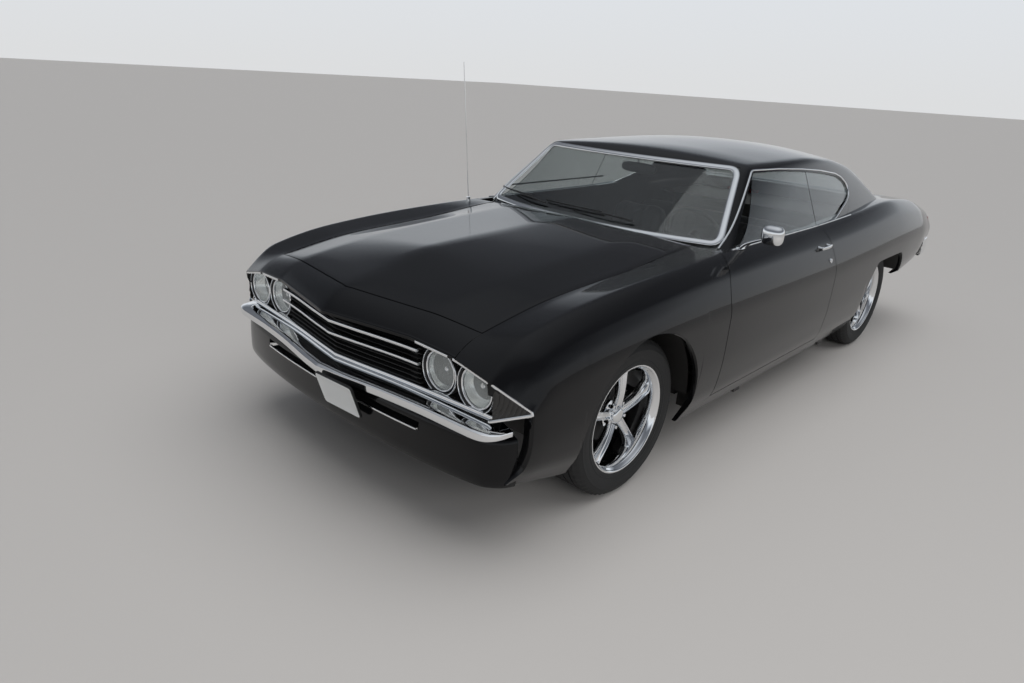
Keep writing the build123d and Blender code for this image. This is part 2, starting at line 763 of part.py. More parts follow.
with BuildPart() as quarter_glass:
    add(pane)
    add(window_hole, mode=Mode.INTERSECT)
    add(door_sweep(panel_gap), mode=Mode.SUBTRACT)
    block((0, 1000), (0, 1500), (800, 1500), mode=Mode.INTERSECT)
    add(roof_seat.part, mode=Mode.SUBTRACT)
    mirror(about=Plane.YZ)
    add(quarters.part, mode=Mode.SUBTRACT)

with BuildPart() as deck_lid:
    add(top_panel(lid_axis_y, lid_back_y, -lid_x + panel_gap / 2, lid_x - panel_gap / 2))
    cross_bar((-lid_x + panel_gap / 2, lid_x - panel_gap / 2), lid_axis_y, lid_axis_z, lid_hem_r)
    for side in (1, -1):
        x = sorted((side * (lid_x - lid_bore_depth - 1), side * lid_x))
        cross_bar(x, lid_axis_y, lid_axis_z, lid_pin_r + hinge_fit, mode=Mode.SUBTRACT)

# Tail: the panel between the quarters, and the lamps that wrap round its corners
with BuildPart() as tail_panel:
    add(body_room)
    block((-1000, 1000), (tail_front_y, 2600), (tail_foot_z, 1000), mode=Mode.INTERSECT)
    for side in (1, -1):
        both(side, (bumper_room_x, 1000), (2400, 2600), (0, bumper_notch_z), mode=Mode.SUBTRACT)
    add(top_panel(tail_front_y, BODY_SECTIONS[-1][0], -lid_x, lid_x, skin + 1))
    for side in (1, -1):
        x = sorted((side * (tail_lamp_x - seat_gap), side * 1100))
        block(x, (tail_front_y - 10, 2600), (TAIL_LAMP_Z[0] - seat_gap, TAIL_LAMP_Z[1] + seat_gap),
              mode=Mode.SUBTRACT)
with BuildPart() as tail_lamps:
    add(body_block(tail_lamp_y, BODY_SECTIONS[-1][0], 1, 300))
    block((tail_lamp_x, 1000), (tail_lamp_y, 2600), TAIL_LAMP_Z, mode=Mode.INTERSECT)
    mirror(about=Plane.YZ)

# Front bumper: a wedge section, upright in front with a shelf that slopes up and back
faces = []
for z, setback in BUMPER_LEVELS:
    corner = (bumper_corner_x, bumper_corner_y + setback / 2)
    back = (bumper_corner_x - bumper_back_inset, bumper_back_side_y)
    end = (bumper_end_x, bumper_end_y)
    end_back = (bumper_end_x - bumper_end_width, bumper_end_y)
    with BuildSketch(Plane.XY.offset(z)) as face:
        with BuildLine():
            ThreePointArc((-corner[0], corner[1]), (0, bumper_nose_y + setback), corner)
            Polyline(corner, end, end_back, back)
            ThreePointArc(back, (0, bumper_back_mid_y), (-back[0], back[1]))
            Polyline((-back[0], back[1]), (-end_back[0], end_back[1]), (-end[0], end[1]), (-corner[0], corner[1]))
        make_face()
    faces.append(face.sketch)
with BuildPart() as front_bumper:
    add(skinned(faces))

# Rear bumper: a bar that wraps round the tail, from corner to corner
with BuildPart() as rear_bumper:
    add(plan_band(REAR_BUMPER, [(x - bar_wall if y < rear_bumper_in_y else x, min(y, rear_bumper_in_y))
                                for x, y in REAR_BUMPER], *REAR_BUMPER_Z))

with BuildPart() as front_valance:
    add(plan_band(VALANCE, [(x, y + valance_wall) for x, y in VALANCE], *VALANCE_Z))
    block((-slot_half_x, slot_half_x), (-2600, -2200), SLOT_Z, mode=Mode.SUBTRACT)

# Grille: a back plate with level bars, and a round bezel for each lamp
with BuildPart() as lamp_bores:
    for x in (*LAMP_X, *[-x for x in LAMP_X]):
        with Locations(Plane(origin=(x, -2600, lamp_z), z_dir=(0, 1, 0))):
            Cylinder(lamp_r, 600, align=(Align.CENTER, Align.CENTER, Align.MIN))
with BuildPart() as grille:
    add(plan_band(GRILLE, [(x, y + grille_wall) for x, y in GRILLE], *GRILLE_Z))
    for step in range(grille_bars):
        z = GRILLE_Z[0] + (step + 0.5) * (GRILLE_Z[1] - GRILLE_Z[0]) / grille_bars
        add(plan_band([(x, y - grille_bar_depth) for x, y in GRILLE[:2]], GRILLE[:2],
                      z - grille_bar_h / 2, z + grille_bar_h / 2))
    for x in (*LAMP_X, *[-x for x in LAMP_X]):
        with Locations(Plane(origin=(x, lamp_face_y - bezel_proud, lamp_z), z_dir=(0, 1, 0))):
            Cylinder(bezel_r, bezel_proud + grille_wall, align=(Align.CENTER, Align.CENTER, Align.MIN))
    add(lamp_bores.part, mode=Mode.SUBTRACT)
with BuildPart() as front_lamps:
    for x in (*LAMP_X, *[-x for x in LAMP_X]):
        with Locations(Plane(origin=(x, lamp_face_y, lamp_z), z_dir=(0, 1, 0))):
            Cylinder(lamp_r, lamp_depth, align=(Align.CENTER, Align.CENTER, Align.MIN))
with BuildPart() as corner_lamps:
    add(plan_band(CORNER_LAMP, [(x, y + corner_lamp_wall) for x, y in CORNER_LAMP],
                  CORNER_WEDGE[3][1], CORNER_WEDGE[0][1]))
    add(front_prism(CORNER_WEDGE, -2600, -2000), mode=Mode.INTERSECT)
    add(body_room, mode=Mode.INTERSECT)

with BuildPart() as grille_mouldings:
    for z_low, z_high, end_x in MOULDINGS:
        line = [(x, y) for x, y in MOULDING_LINE if x <= end_x]
        add(plan_band(line, [(x, y + moulding_depth) for x, y in line], z_low, z_high))
    add(plan_band(LOW_MOULDING_LINE, [(x, y + moulding_depth) for x, y in LOW_MOULDING_LINE], *LOW_MOULDING_Z))
    add(grille.part, mode=Mode.SUBTRACT)

with BuildPart() as number_plate:
    block((plate_x - plate_width / 2, plate_x + plate_width / 2), (plate_y, plate_y + plate_wall),
          (plate_z - plate_height / 2, plate_z + plate_height / 2))
    block((plate_x - plate_bracket / 2, plate_x + plate_bracket / 2),
          (plate_y + plate_wall, plate_y + plate_bracket_depth), (plate_z - 20, BUMPER_LEVELS[1][0]))
    add(front_bumper.part, mode=Mode.SUBTRACT)

# Cowl: the trough under the hood's back edge, the firewall, the posts that carry the doors, the hinge pins
with BuildPart() as cowl:
    block((-cowl_half_x, cowl_half_x), (-990, firewall_y + 20), (cowl_top_z - 20, cowl_top_z))
    block((-cowl_half_x, cowl_half_x), (firewall_y, firewall_y + 20), (floor_top_z + seat_gap, cowl_top_z))
    for side in (1, -1):
        wall_x = sorted((side * (cowl_half_x - 16), side * cowl_half_x))
        block(wall_x, (-1040, firewall_y + 20), (floor_top_z + seat_gap, cowl_top_z))
        post_x = sorted((side * (cowl_half_x - 16), side * post_out_x))
        block(post_x, (hinge_y - 30, door_front_y - 10), (floor_top_z + seat_gap, cowl_top_z))
        for z in HINGE_HEIGHTS:
            for low, high in ((-0.5, -0.25), (0.25, 0.5)):
                ear_z = (z + low * hinge_h - (1 if low < 0 else -1), z + high * hinge_h + (1 if high > 0.3 else -1))
                leaf_x = sorted((side * (post_out_x - 10), side * hinge_x))
                block(leaf_x, (hinge_y - hinge_eye_r, hinge_y + hinge_eye_r), ear_z)
                post(side * hinge_x, hinge_y, ear_z, hinge_eye_r)
            post(side * hinge_x, hinge_y, (z - hinge_h / 2, z + hinge_h / 2), hinge_pin_r)
        bracket_x = sorted((side * (hood_eye_x + hood_eye_width + 2), side * (hood_eye_x + hood_eye_width + 14)))
        block(bracket_x, (hood_axis_y - 12, hood_axis_y + 5), (cowl_top_z - 5, hood_axis_z + 8))
        pin_x = sorted((side * hood_eye_x, side * (hood_eye_x + hood_eye_width + 4)))
        cross_bar(pin_x, hood_axis_y, hood_axis_z, hood_pin_r)
    block((-tunnel_half_x - 8.3, tunnel_half_x + 8.3), (firewall_y - 5, firewall_y + 25), (0, tunnel_top_z + 8.3),
          mode=Mode.SUBTRACT)

# Floor: pan, tunnel, sill boxes, the riser under the rear seat, the trunk floor and the rear wheelhouses
with BuildPart() as floor:
    block((-780, 780), (firewall_y, riser_y), (floor_top_z - 15, floor_top_z))
    block((-sill_in_x, sill_in_x), (door_front_y - 40, rear_axle_y - arch_r - 10), (206, floor_top_z))
    block((-780, 780), (-1100, riser_y + 50), (0, floor_top_z - 15), mode=Mode.SUBTRACT)
    block((-680, 680), (-1100, firewall_y), (0, 400), mode=Mode.SUBTRACT)
    block((-780, 780), (riser_y, riser_y + 15), (floor_top_z - 15, trunk_z))
    block((-780, 780), (riser_y, tail_front_y - seat_gap), (trunk_z - 15, trunk_z))
    block((-wheelhouse_x, wheelhouse_x), (shelf_y, shelf_y + 10), (trunk_z, shelf_z))
    block((-700, 700), (shelf_y, 1600), (shelf_z, shelf_z + 12))
    block((-tunnel_half_x - 8, tunnel_half_x + 8), (firewall_y + 1, -300), (floor_top_z - 15, tunnel_top_z + 8))
    block((-tunnel_half_x - 8, tunnel_half_x + 8), (-300, riser_y), (floor_top_z - 15, tunnel_low_z + 8))
    block((-tunnel_half_x, tunnel_half_x), (firewall_y - 5, -308), (0, tunnel_top_z), mode=Mode.SUBTRACT)
    block((-tunnel_half_x, tunnel_half_x), (-310, riser_y + 20), (0, tunnel_low_z), mode=Mode.SUBTRACT)
    for side in (1, -1):
        x = sorted((side * wheelhouse_x, side * 960))
        cross_bar(x, rear_axle_y, axle_z, arch_r + 6)
    for side in (1, -1):
        x = sorted((side * (wheelhouse_x + 6), side * 1000))
        cross_bar(x, rear_axle_y, axle_z, arch_r, mode=Mode.SUBTRACT)
        block(sorted((side * wheelhouse_x, side * 1000)), (rear_axle_y - arch_r - 20, rear_axle_y + arch_r + 20),
              (-100, trunk_z - 15), mode=Mode.SUBTRACT)
    add(body_room, mode=Mode.INTERSECT)
# Chassis: two rails from the nose to the tail, with cross members, towers and outriggers
with BuildPart() as chassis:
    for side in (1, -1):
        for (x_a, y_a, z_a), (x_b, y_b, z_b) in zip(RAIL, RAIL[1:]):
            beam((side * x_a, y_a, z_a), (side * x_b, y_b, z_b), rail_width, rail_height)
        for x, y, z in RAIL[1:-1]:
            with Locations((side * x, y, z)):
                Box(rail_width, rail_height, rail_height)
        for limits in RAIL_BRACKETS:
            both(side, *limits)
    for limits in CROSS_MEMBERS:
        block(*limits)
    block((-gearbox_mount_half_x, gearbox_mount_half_x), CROSS_MEMBERS[2][1],
          (CROSS_MEMBERS[2][2][1], GEARBOX[2][0] - seat_gap))

with BuildPart() as engine:
    block(*ENGINE)
    block(*GEARBOX)

with BuildPart() as rear_axle:
    cross_bar((-rear_flange_x, rear_flange_x), rear_axle_y, axle_z, axle_tube_r)
    with Locations((0, rear_axle_y, axle_z)):
        Sphere(differential_r)
    with Locations(Plane(origin=(0, GEARBOX[1][1] + seat_gap, axle_z), z_dir=(0, 1, 0))):
        Cylinder(shaft_r, rear_axle_y - GEARBOX[1][1] - 40, align=(Align.CENTER, Align.CENTER, Align.MIN))
    for side in (1, -1):
        cross_bar(sorted((side * rear_flange_x, side * (rear_flange_x - 45))), rear_axle_y, axle_z, drum_r)
        cross_bar(sorted((side * rear_flange_x, side * rear_stub_x)), rear_axle_y, axle_z, hub_bore_r - axle_fit)

# Suspension: an upper and a lower arm at each front wheel, springs and trailing links at the rear
with BuildPart() as suspension:
    for side in (1, -1):
        for arm_z, pin_z in (ARM_LOW, ARM_HIGH):
            with BuildSketch(Plane.XY.offset(arm_z[0])):
                with BuildLine():
                    Polyline(*[(side * x, front_axle_y + y) for x, y in ARM_PLAN], close=True)
                make_face()
            extrude(amount=arm_z[1] - arm_z[0])
            post(side * steer_x, front_axle_y, arm_z, ARM_PLAN[0][0] - steer_x)
            post(side * steer_x, front_axle_y, pin_z, kingpin_r)
        post(side * RAIL[-1][0], rear_axle_y, (axle_z + axle_tube_r - 8, RAIL[-1][2] - rail_height / 2 - seat_gap),
             spring_r)
        beam((side * link_x, rear_axle_y, axle_z - axle_tube_r - 10), (side * link_x, 720, 225), 40, 24)
        both(side, (link_x - 20, 590 - seat_gap), (700, 740), (213, 257))
    add(rear_axle.part, mode=Mode.SUBTRACT)

with BuildPart() as exhaust:
    for side in (1, -1):
        with BuildLine() as route:
            FilletPolyline(*[(side * x, y, z) for x, y, z in EXHAUST_ROUTE], radius=90)
        with BuildSketch(Plane(origin=route.line @ 0, z_dir=route.line % 0)):
            Circle(exhaust_r)
        sweep(path=route.line)
        both(side, *SILENCER)

with BuildPart() as fuel_tank:
    block((-tank_half_x, tank_half_x), *TANK)

# Inner fenders: a round house over each front tyre with its inboard wall
with BuildPart() as inner_fenders:
    cross_bar((inner_fender_x, 895), front_axle_y, axle_z, inner_fender_r + 6)
    cross_bar((inner_fender_x + 6, 1000), front_axle_y, axle_z, inner_fender_r, mode=Mode.SUBTRACT)
    block((0, 1000), (-3000, 3000), (-200, axle_z), mode=Mode.SUBTRACT)
    block((0, 1000), (front_axle_y - 118, front_axle_y + 118), (0, 520), mode=Mode.SUBTRACT)
    add(body_room, mode=Mode.INTERSECT)
    mirror(about=Plane.YZ)

# Steering column through the dash, and the wheel that turns on its shaft
column_back = (0, -cos(radians(column_slope)), -sin(radians(column_slope)))
wheel_plane = Plane(origin=(column_x, wheel_rim_y, wheel_rim_z), x_dir=(1, 0, 0), z_dir=column_back)
with BuildPart() as dashboard:
    profile(DASH, -dash_half_x, dash_half_x)
    with Locations(wheel_plane):
        Cylinder(column_r, 330, align=(Align.CENTER, Align.CENTER, Align.MIN), mode=Mode.ADD)
        Cylinder(column_r + 6, 45, align=(Align.CENTER, Align.CENTER, Align.MIN), mode=Mode.SUBTRACT)
        Cylinder(shaft_pin_r, 60, align=(Align.CENTER, Align.CENTER, Align.MIN), mode=Mode.ADD)
with BuildPart() as steering_wheel:
    with Locations(wheel_plane):
        Torus(steering_r, steering_rim_r)
        Cylinder(40, 40, align=(Align.CENTER, Align.CENTER, Align.CENTER))
    with BuildSketch(wheel_plane.offset(-8)):
        for angle in (0, 180, 270):
            with Locations((steering_r / 2 * cos(radians(angle)), steering_r / 2 * sin(radians(angle)))):
                Rectangle(steering_r, 30, rotation=angle)
    extrude(amount=8)
    with Locations(wheel_plane):
        Cylinder(shaft_pin_r + hinge_fit, 70, align=(Align.CENTER, Align.CENTER, Align.MIN), mode=Mode.SUBTRACT)

with BuildPart() as front_seats:
    profile(FRONT_SEAT, *FRONT_SEAT_X)
    mirror(about=Plane.YZ)
with BuildPart() as rear_seat:
    profile(REAR_SEAT, -rear_seat_half_x, rear_seat_half_x)
    block((-tunnel_half_x - 8.3, tunnel_half_x + 8.3), (0, riser_y), (0, tunnel_low_z + 8.3), mode=Mode.SUBTRACT)

# Handle, lock and door mirror
with BuildPart() as plain_fittings:
    with Locations((926, sum(handle_y) / 2, handle_z)):
        Box(16, handle_y[1] - handle_y[0], 20)
    for y in handle_y:
        block((880, 926), (y - 8 if y > 100 else y, y if y > 100 else y + 8), (handle_z - 7, handle_z + 7))
    cross_bar((920, 950), lock_y, lock_z, 13)
    add(door_left.part, mode=Mode.SUBTRACT)
with BuildPart() as door_fittings_left:
    add(plain_fittings.part)
    with Locations(mirror_head):
        Box(*[2 * half for half in mirror_half])
    chamfer(door_fittings_left.edges().filter_by(Axis.Y).group_by(Axis.Z)[-1], 12)
    beam(mirror_foot, (mirror_head[0] - 30, mirror_head[1] + 8, mirror_head[2] - 30), 20, 14)
    with Locations(mirror_foot):
        Box(40, 50, 16)
    add(door_left.part, mode=Mode.SUBTRACT)

with BuildPart() as antenna:
    reach = Vector(*antenna_tip) - Vector(*antenna_foot)
    with Locations(Plane(origin=antenna_foot, z_dir=reach)):
        Cylinder(antenna_r, reach.length, align=(Align.CENTER, Align.CENTER, Align.MIN))
        Cylinder(13, 26, align=(Align.CENTER, Align.CENTER, Align.MIN))
    add(fenders.part, mode=Mode.SUBTRACT)

# Steering knuckles with brake drums and stub axles
with BuildPart() as knuckle_left:
    block((steer_x - 14, steer_x + 14), (front_axle_y - 18, front_axle_y + 18),
          (ARM_LOW[0][1] + clearance, ARM_HIGH[0][0] - clearance))
    cross_bar((steer_x, drum_x[1]), front_axle_y, axle_z, 40)
    cross_bar(drum_x, front_axle_y, axle_z, drum_r)
    cross_bar((steer_x, front_lip_x - hub_setback - hub_cap - 6), front_axle_y, axle_z, hub_bore_r - axle_fit)
    for z in ((ARM_LOW[0][1], ARM_LOW[1][1] + 4), (ARM_HIGH[1][0] - 4, ARM_HIGH[0][0])):
        post(steer_x, front_axle_y, z, kingpin_r + hinge_fit, mode=Mode.SUBTRACT)

# Wheels: a deep barrel with five spokes, and the tyre on it

def wheel_pair(side, lip_x, axle_y):
    """A rim and its tyre. Profiles are drawn from the wheel's middle, x outwards and z as radius."""
    middle = lip_x - rim_width / 2
    half = rim_width / 2
    plane = Plane(origin=(side * middle, axle_y, axle_z), x_dir=(side, 0, 0), z_dir=(0, -side, 0))
    barrel = [(-half, rim_lip_r), (-half, rim_barrel_r - rim_wall), (half, rim_barrel_r - rim_wall),
              (half, rim_lip_r), (half - rim_wall, rim_lip_r), (half - rim_wall, rim_barrel_r),
              (rim_wall - half, rim_barrel_r), (rim_wall - half, rim_lip_r)]
    hub_x = half - hub_setback
    with BuildPart() as rim:
        with BuildSketch(plane):
            with BuildLine():
                Polyline(*barrel, close=True)
            make_face()
            with Locations((hub_x - hub_depth / 2, hub_r / 2)):
                Rectangle(hub_depth, hub_r)
        revolve(axis=Axis((0, axle_y, axle_z), (1, 0, 0)))
        with BuildSketch(Plane(origin=(side * (middle + half - spoke_setback), axle_y, axle_z),
                               x_dir=(0, 1, 0), z_dir=(-side, 0, 0))) as spokes:
            for turn in range(spoke_count):
                with Locations(Rotation(0, 0, turn * 360 / spoke_count + 90)):
                    with BuildLine(mode=Mode.PRIVATE) as edge:
                        Polyline((0, -spoke_root / 2), (rim_barrel_r - 3, -spoke_tip / 2),
                                 (rim_barrel_r - 3, spoke_tip / 2), (0, spoke_root / 2), close=True)
                    add(make_face(edge.line, mode=Mode.PRIVATE))
        extrude(amount=spoke_depth)
        bore_x = sorted((side * (middle - 20), side * (middle + hub_x - hub_cap)))
        cross_bar(bore_x, axle_y, axle_z, hub_bore_r, mode=Mode.SUBTRACT)
    bead = rim_width / 2 - rim_wall - bead_gap
    bulge = tyre_width / 2
    tread = tread_width / 2
    with BuildPart() as tyre:
        with BuildSketch(plane):
            with BuildLine():
                Polyline((-bead, rim_lip_r + 2), (-bead, rim_barrel_r + bead_gap), (bead, rim_barrel_r + bead_gap),
                         (bead, rim_lip_r + 2))
                ThreePointArc((bead, rim_lip_r + 2), (bulge, (rim_lip_r + tyre_r) / 2 - 4), (tread, tyre_r))
                Line((tread, tyre_r), (-tread, tyre_r))
                ThreePointArc((-tread, tyre_r), (-bulge, (rim_lip_r + tyre_r) / 2 - 4), (-bead, rim_lip_r + 2))
            make_face()
        revolve(axis=Axis((0, axle_y, axle_z), (1, 0, 0)))
    return rim.part, tyre.part


# name, side, lip_x, axle_y
WHEELS = [
    ("front_left", 1, front_lip_x, front_axle_y),
    ("front_right", -1, front_lip_x, front_axle_y),
    ("rear_left", 1, rear_lip_x, rear_axle_y),
    ("rear_right", -1, rear_lip_x, rear_axle_y),
]

pieces = {
    "hood": hood.part, "header_panel": header_whole.part, "fenders": fenders.part, "quarters": quarters.part,
    "roof": roof.part, "deck_lid": deck_lid.part, "tail_panel": tail_panel.part, "tail_lamps": tail_lamps.part,
    "door_left": door_left.part, "door_glass_left": door_glass_left.part,
    "windshield": windshield.part, "backlight": backlight.part, "quarter_glass": quarter_glass.part,
    "front_bumper": front_bumper.part, "rear_bumper": rear_bumper.part, "front_valance": front_valance.part,
    "grille": grille.part, "grille_mouldings": grille_mouldings.part, "front_lamps": front_lamps.part,
    "corner_lamps": corner_lamps.part, "number_plate": number_plate.part, "cowl": cowl.part,
    "floor": floor.part, "chassis": chassis.part, "inner_fenders": inner_fenders.part, "engine": engine.part,
    "rear_axle": rear_axle.part, "suspension": suspension.part, "exhaust": exhaust.part,
    "fuel_tank": fuel_tank.part, "dashboard": dashboard.part, "steering_wheel": steering_wheel.part,
    "front_seats": front_seats.part, "rear_seat": rear_seat.part, "antenna": antenna.part,
    "door_fittings_left": door_fittings_left.part, "knuckle_left": knuckle_left.part,
}
for name, shape in (("door", door_left.part), ("door_glass", door_glass_left.part),
                    ("door_fittings", plain_fittings.part), ("knuckle", knuckle_left.part)):
    with BuildPart() as other_side:
        mirror(shape, about=Plane.YZ)
    pieces[name + "_right"] = other_side.part
for name, side, lip_x, axle_y in WHEELS:
    pieces["rim_" + name], pieces["tyre_" + name] = wheel_pair(side, lip_x, axle_y)

for name, piece in pieces.items():
    piece.label = name
    export_step(piece, f"parts/{name}.step")
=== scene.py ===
# %% [markdown]
# A late 1960s two-door hardtop in gloss black. The frame brings every solid at its real size and place,
# and this notebook dresses it: smooth painted panels, plated trim, glass, lamps, wheels and tyres.
# The first cell loads the frame.

# %% Load the frame
import json
import math

import bmesh
import bpy
import numpy as np
from mathutils import Matrix, Vector

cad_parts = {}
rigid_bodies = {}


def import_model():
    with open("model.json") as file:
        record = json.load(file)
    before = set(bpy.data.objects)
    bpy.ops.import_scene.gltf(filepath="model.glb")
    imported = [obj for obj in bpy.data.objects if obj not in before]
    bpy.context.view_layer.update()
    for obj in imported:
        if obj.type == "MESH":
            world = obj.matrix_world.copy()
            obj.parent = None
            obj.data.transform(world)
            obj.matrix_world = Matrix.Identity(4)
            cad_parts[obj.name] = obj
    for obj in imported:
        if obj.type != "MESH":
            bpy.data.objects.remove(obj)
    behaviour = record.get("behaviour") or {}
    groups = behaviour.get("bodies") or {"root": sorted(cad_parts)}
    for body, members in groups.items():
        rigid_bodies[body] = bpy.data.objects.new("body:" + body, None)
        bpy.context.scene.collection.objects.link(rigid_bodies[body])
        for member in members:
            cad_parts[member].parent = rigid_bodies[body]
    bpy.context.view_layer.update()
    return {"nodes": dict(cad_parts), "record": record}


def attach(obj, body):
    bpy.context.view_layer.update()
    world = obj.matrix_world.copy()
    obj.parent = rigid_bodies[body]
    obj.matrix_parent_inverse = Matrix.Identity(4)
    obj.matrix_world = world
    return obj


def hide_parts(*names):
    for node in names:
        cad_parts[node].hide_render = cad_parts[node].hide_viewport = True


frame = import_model()
nodes = frame["nodes"]

# %% [markdown]
# The photograph was taken from the front left corner, a little above the roof. The camera is placed by
# its own position and three angles, and the focal length is that of a wide lens on a 36 mm sensor.

# %% Camera
camera_place = (2.263, -3.8185, 1.631)
camera_azimuth = math.radians(42.66)
camera_dip = math.radians(20.7)
camera_roll = math.radians(3.49)
camera_lens = 24.64
camera_sensor = 36

forward = Vector((-math.sin(camera_azimuth) * math.cos(camera_dip),
                  math.cos(camera_azimuth) * math.cos(camera_dip),
                  -math.sin(camera_dip)))
level_right = forward.cross(Vector((0, 0, 1))).normalized()
level_up = level_right.cross(forward)
right = math.cos(camera_roll) * level_right + math.sin(camera_roll) * level_up
up = right.cross(forward)
camera_data = bpy.data.cameras.new("camera")
camera_data.sensor_width = camera_sensor
camera_data.lens = camera_lens
camera = bpy.data.objects.new("camera", camera_data)
turn = Matrix((right, up, -forward)).transposed().to_4x4()
camera.matrix_world = Matrix.Translation(camera_place) @ turn
bpy.context.scene.collection.objects.link(camera)
bpy.context.scene.camera = camera
print("camera at", camera_place)

# %% [markdown]
# Black paint and plating show nothing but what they reflect. So the sky is pale in a low band round the
# horizon, which the roof and the glass pick up at a flat angle, dim above it, which keeps the hood black, and
# paler again overhead. One soft box on the left and a broad overcast lamp light the floor and the pieces, and
# both are kept out of the reflections.

# %% Light
scene = bpy.context.scene
scene.view_settings.view_transform = "Standard"
world = bpy.data.worlds.new("studio")
scene.world = world
world.use_nodes = True
world_nodes = world.node_tree.nodes
world_links = world.node_tree.links
background = world_nodes["Background"]
background.inputs["Strength"].default_value = 1.0
place = world_nodes.new("ShaderNodeTexCoord")
split = world_nodes.new("ShaderNodeSeparateXYZ")
ramp = world_nodes.new("ShaderNodeValToRGB")
# Height of a direction (its sine above the horizon) and the sky's colour there
SKY = ((0.0, (0.72, 0.73, 0.74)), (0.19, (0.74, 0.78, 0.83)), (0.27, (0.36, 0.39, 0.43)),
       (0.38, (0.12, 0.13, 0.15)), (0.60, (0.16, 0.17, 0.19)), (1.0, (0.60, 0.63, 0.67)))
while len(ramp.color_ramp.elements) < len(SKY):
    ramp.color_ramp.elements.new(0.5)
for stop, (height, color) in zip(ramp.color_ramp.elements, SKY):
    stop.position = height
    stop.color = (*color, 1)
world_links.new(place.outputs["Generated"], split.inputs[0])
world_links.new(split.outputs["Z"], ramp.inputs[0])
world_links.new(ramp.outputs[0], background.inputs["Color"])


def soft_box(name, place, aim, size, power):
    """A rectangular area lamp at a place, turned to face a point and left out of the reflections."""
    lamp = bpy.data.lights.new(name, "AREA")
    lamp.shape = "RECTANGLE"
    lamp.size, lamp.size_y = size
    lamp.energy = power
    thing = bpy.data.objects.new(name, lamp)
    thing.location = place
    thing.rotation_euler = (Vector(aim) - Vector(place)).to_track_quat("-Z", "Y").to_euler()
    thing.visible_glossy = False
    bpy.context.scene.collection.objects.link(thing)


soft_box("left_side", place=(6.0, -4.0, 3.4), aim=(0.6, -0.8, 0.5), size=(5.0, 2.0), power=120)
overcast = bpy.data.lights.new("overcast", "SUN")
overcast.energy = 1.9
overcast.angle = math.radians(70)
overcast_lamp = bpy.data.objects.new("overcast", overcast)
overcast_lamp.rotation_euler = (math.radians(-12), math.radians(14), 0)
overcast_lamp.visible_glossy = False
bpy.context.scene.collection.objects.link(overcast_lamp)

floor_size = 240
bpy.ops.mesh.primitive_plane_add(size=floor_size)
floor = bpy.context.object
floor.name = "studio_floor"
print("lamps and floor set")

# %% [markdown]
# Each finish is its own small recipe. A constant is set on the shader's own socket, and what varies over
# the surface, such as the grain of rubber or the polish of chrome, comes from noise on Object coordinates.

# %% Materials
def finish(name, color, roughness, metallic=0.0, **sockets):
    """A Principled material with its constant values."""
    material = bpy.data.materials.new(name)
    material.use_nodes = True
    inputs = material.node_tree.nodes["Principled BSDF"].inputs
    inputs["Base Color"].default_value = (*color, 1)
    inputs["Roughness"].default_value = roughness
    inputs["Metallic"].default_value = metallic
    for socket, value in sockets.items():
        inputs[socket.replace("_", " ")].default_value = value
    return material


def noise(tree, scale, detail):
    """The value of a noise texture read in Object coordinates."""
    where = tree.nodes.new("ShaderNodeTexCoord")
    texture = tree.nodes.new("ShaderNodeTexNoise")
    texture.inputs["Scale"].default_value = scale
    texture.inputs["Detail"].default_value = detail
    tree.links.new(where.outputs["Object"], texture.inputs["Vector"])
    return texture.outputs["Fac"]


def bumped(material, scale, distance):
    """Adds a fine relief: noise of the given scale, as deep as distance in metres."""
    tree = material.node_tree
    bump = tree.nodes.new("ShaderNodeBump")
    bump.inputs["Distance"].default_value = distance
    tree.links.new(noise(tree, scale, detail=2.0), bump.inputs["Height"])
    tree.links.new(bump.outputs[0], tree.nodes["Principled BSDF"].inputs["Normal"])


def varied(material, socket, scale, low, high):
    """Lets a value wander between low and high with noise."""
    tree = material.node_tree
    spread = tree.nodes.new("ShaderNodeValToRGB")
    for stop, position, value in zip(spread.color_ramp.elements, (0.35, 0.65), (low, high)):
        stop.position = position
        stop.color = (value, value, value, 1)
    tree.links.new(noise(tree, scale, detail=3.0), spread.inputs[0])
    tree.links.new(spread.outputs[0], tree.nodes["Principled BSDF"].inputs[socket])


paint = finish("black_paint", (0.003, 0.003, 0.0035), 0.25, Specular_IOR_Level=0.05, Coat_Weight=0.85,
               Coat_Roughness=0.012, Coat_IOR=1.34)
bumped(paint, 900, 0.00002)
chrome = finish("chrome_plate", (0.86, 0.87, 0.88), 0.05, 1.0)
varied(chrome, "Roughness", 14, 0.03, 0.09)
reflector = finish("lamp_reflector", (0.90, 0.93, 0.90), 0.24, 0.75)
satin = finish("satin_black", (0.010, 0.010, 0.010), 0.45)
bumped(satin, 700, 0.000006)
glass = finish("window_glass", (0.62, 0.66, 0.66), 0.0, Transmission_Weight=1.0, IOR=1.45)
rubber = finish("tyre_rubber", (0.014, 0.014, 0.014), 0.75)
bumped(rubber, 700, 0.0001)
chassis_paint = finish("chassis_black", (0.018, 0.017, 0.016), 0.6)
bumped(chassis_paint, 300, 0.0002)
vinyl = finish("seat_vinyl", (0.014, 0.014, 0.015), 0.5)
bumped(vinyl, 300, 0.00002)
steel = finish("exhaust_steel", (0.30, 0.28, 0.26), 0.42, 1.0)
iron = finish("engine_iron", (0.09, 0.09, 0.10), 0.55, 0.3)
plate_paint = finish("plate_paint", (0.72, 0.73, 0.72), 0.35)
lamp_glass = finish("lamp_glass", (0.86, 0.90, 0.88), 0.03, Alpha=0.28, Coat_Weight=1.0)
red_lens = finish("tail_lens", (0.16, 0.004, 0.006), 0.12)
corner_lens = finish("corner_lens", (0.020, 0.019, 0.018), 0.10)
floor.data.materials.append(finish("studio_floor", (0.44, 0.42, 0.40), 0.7))

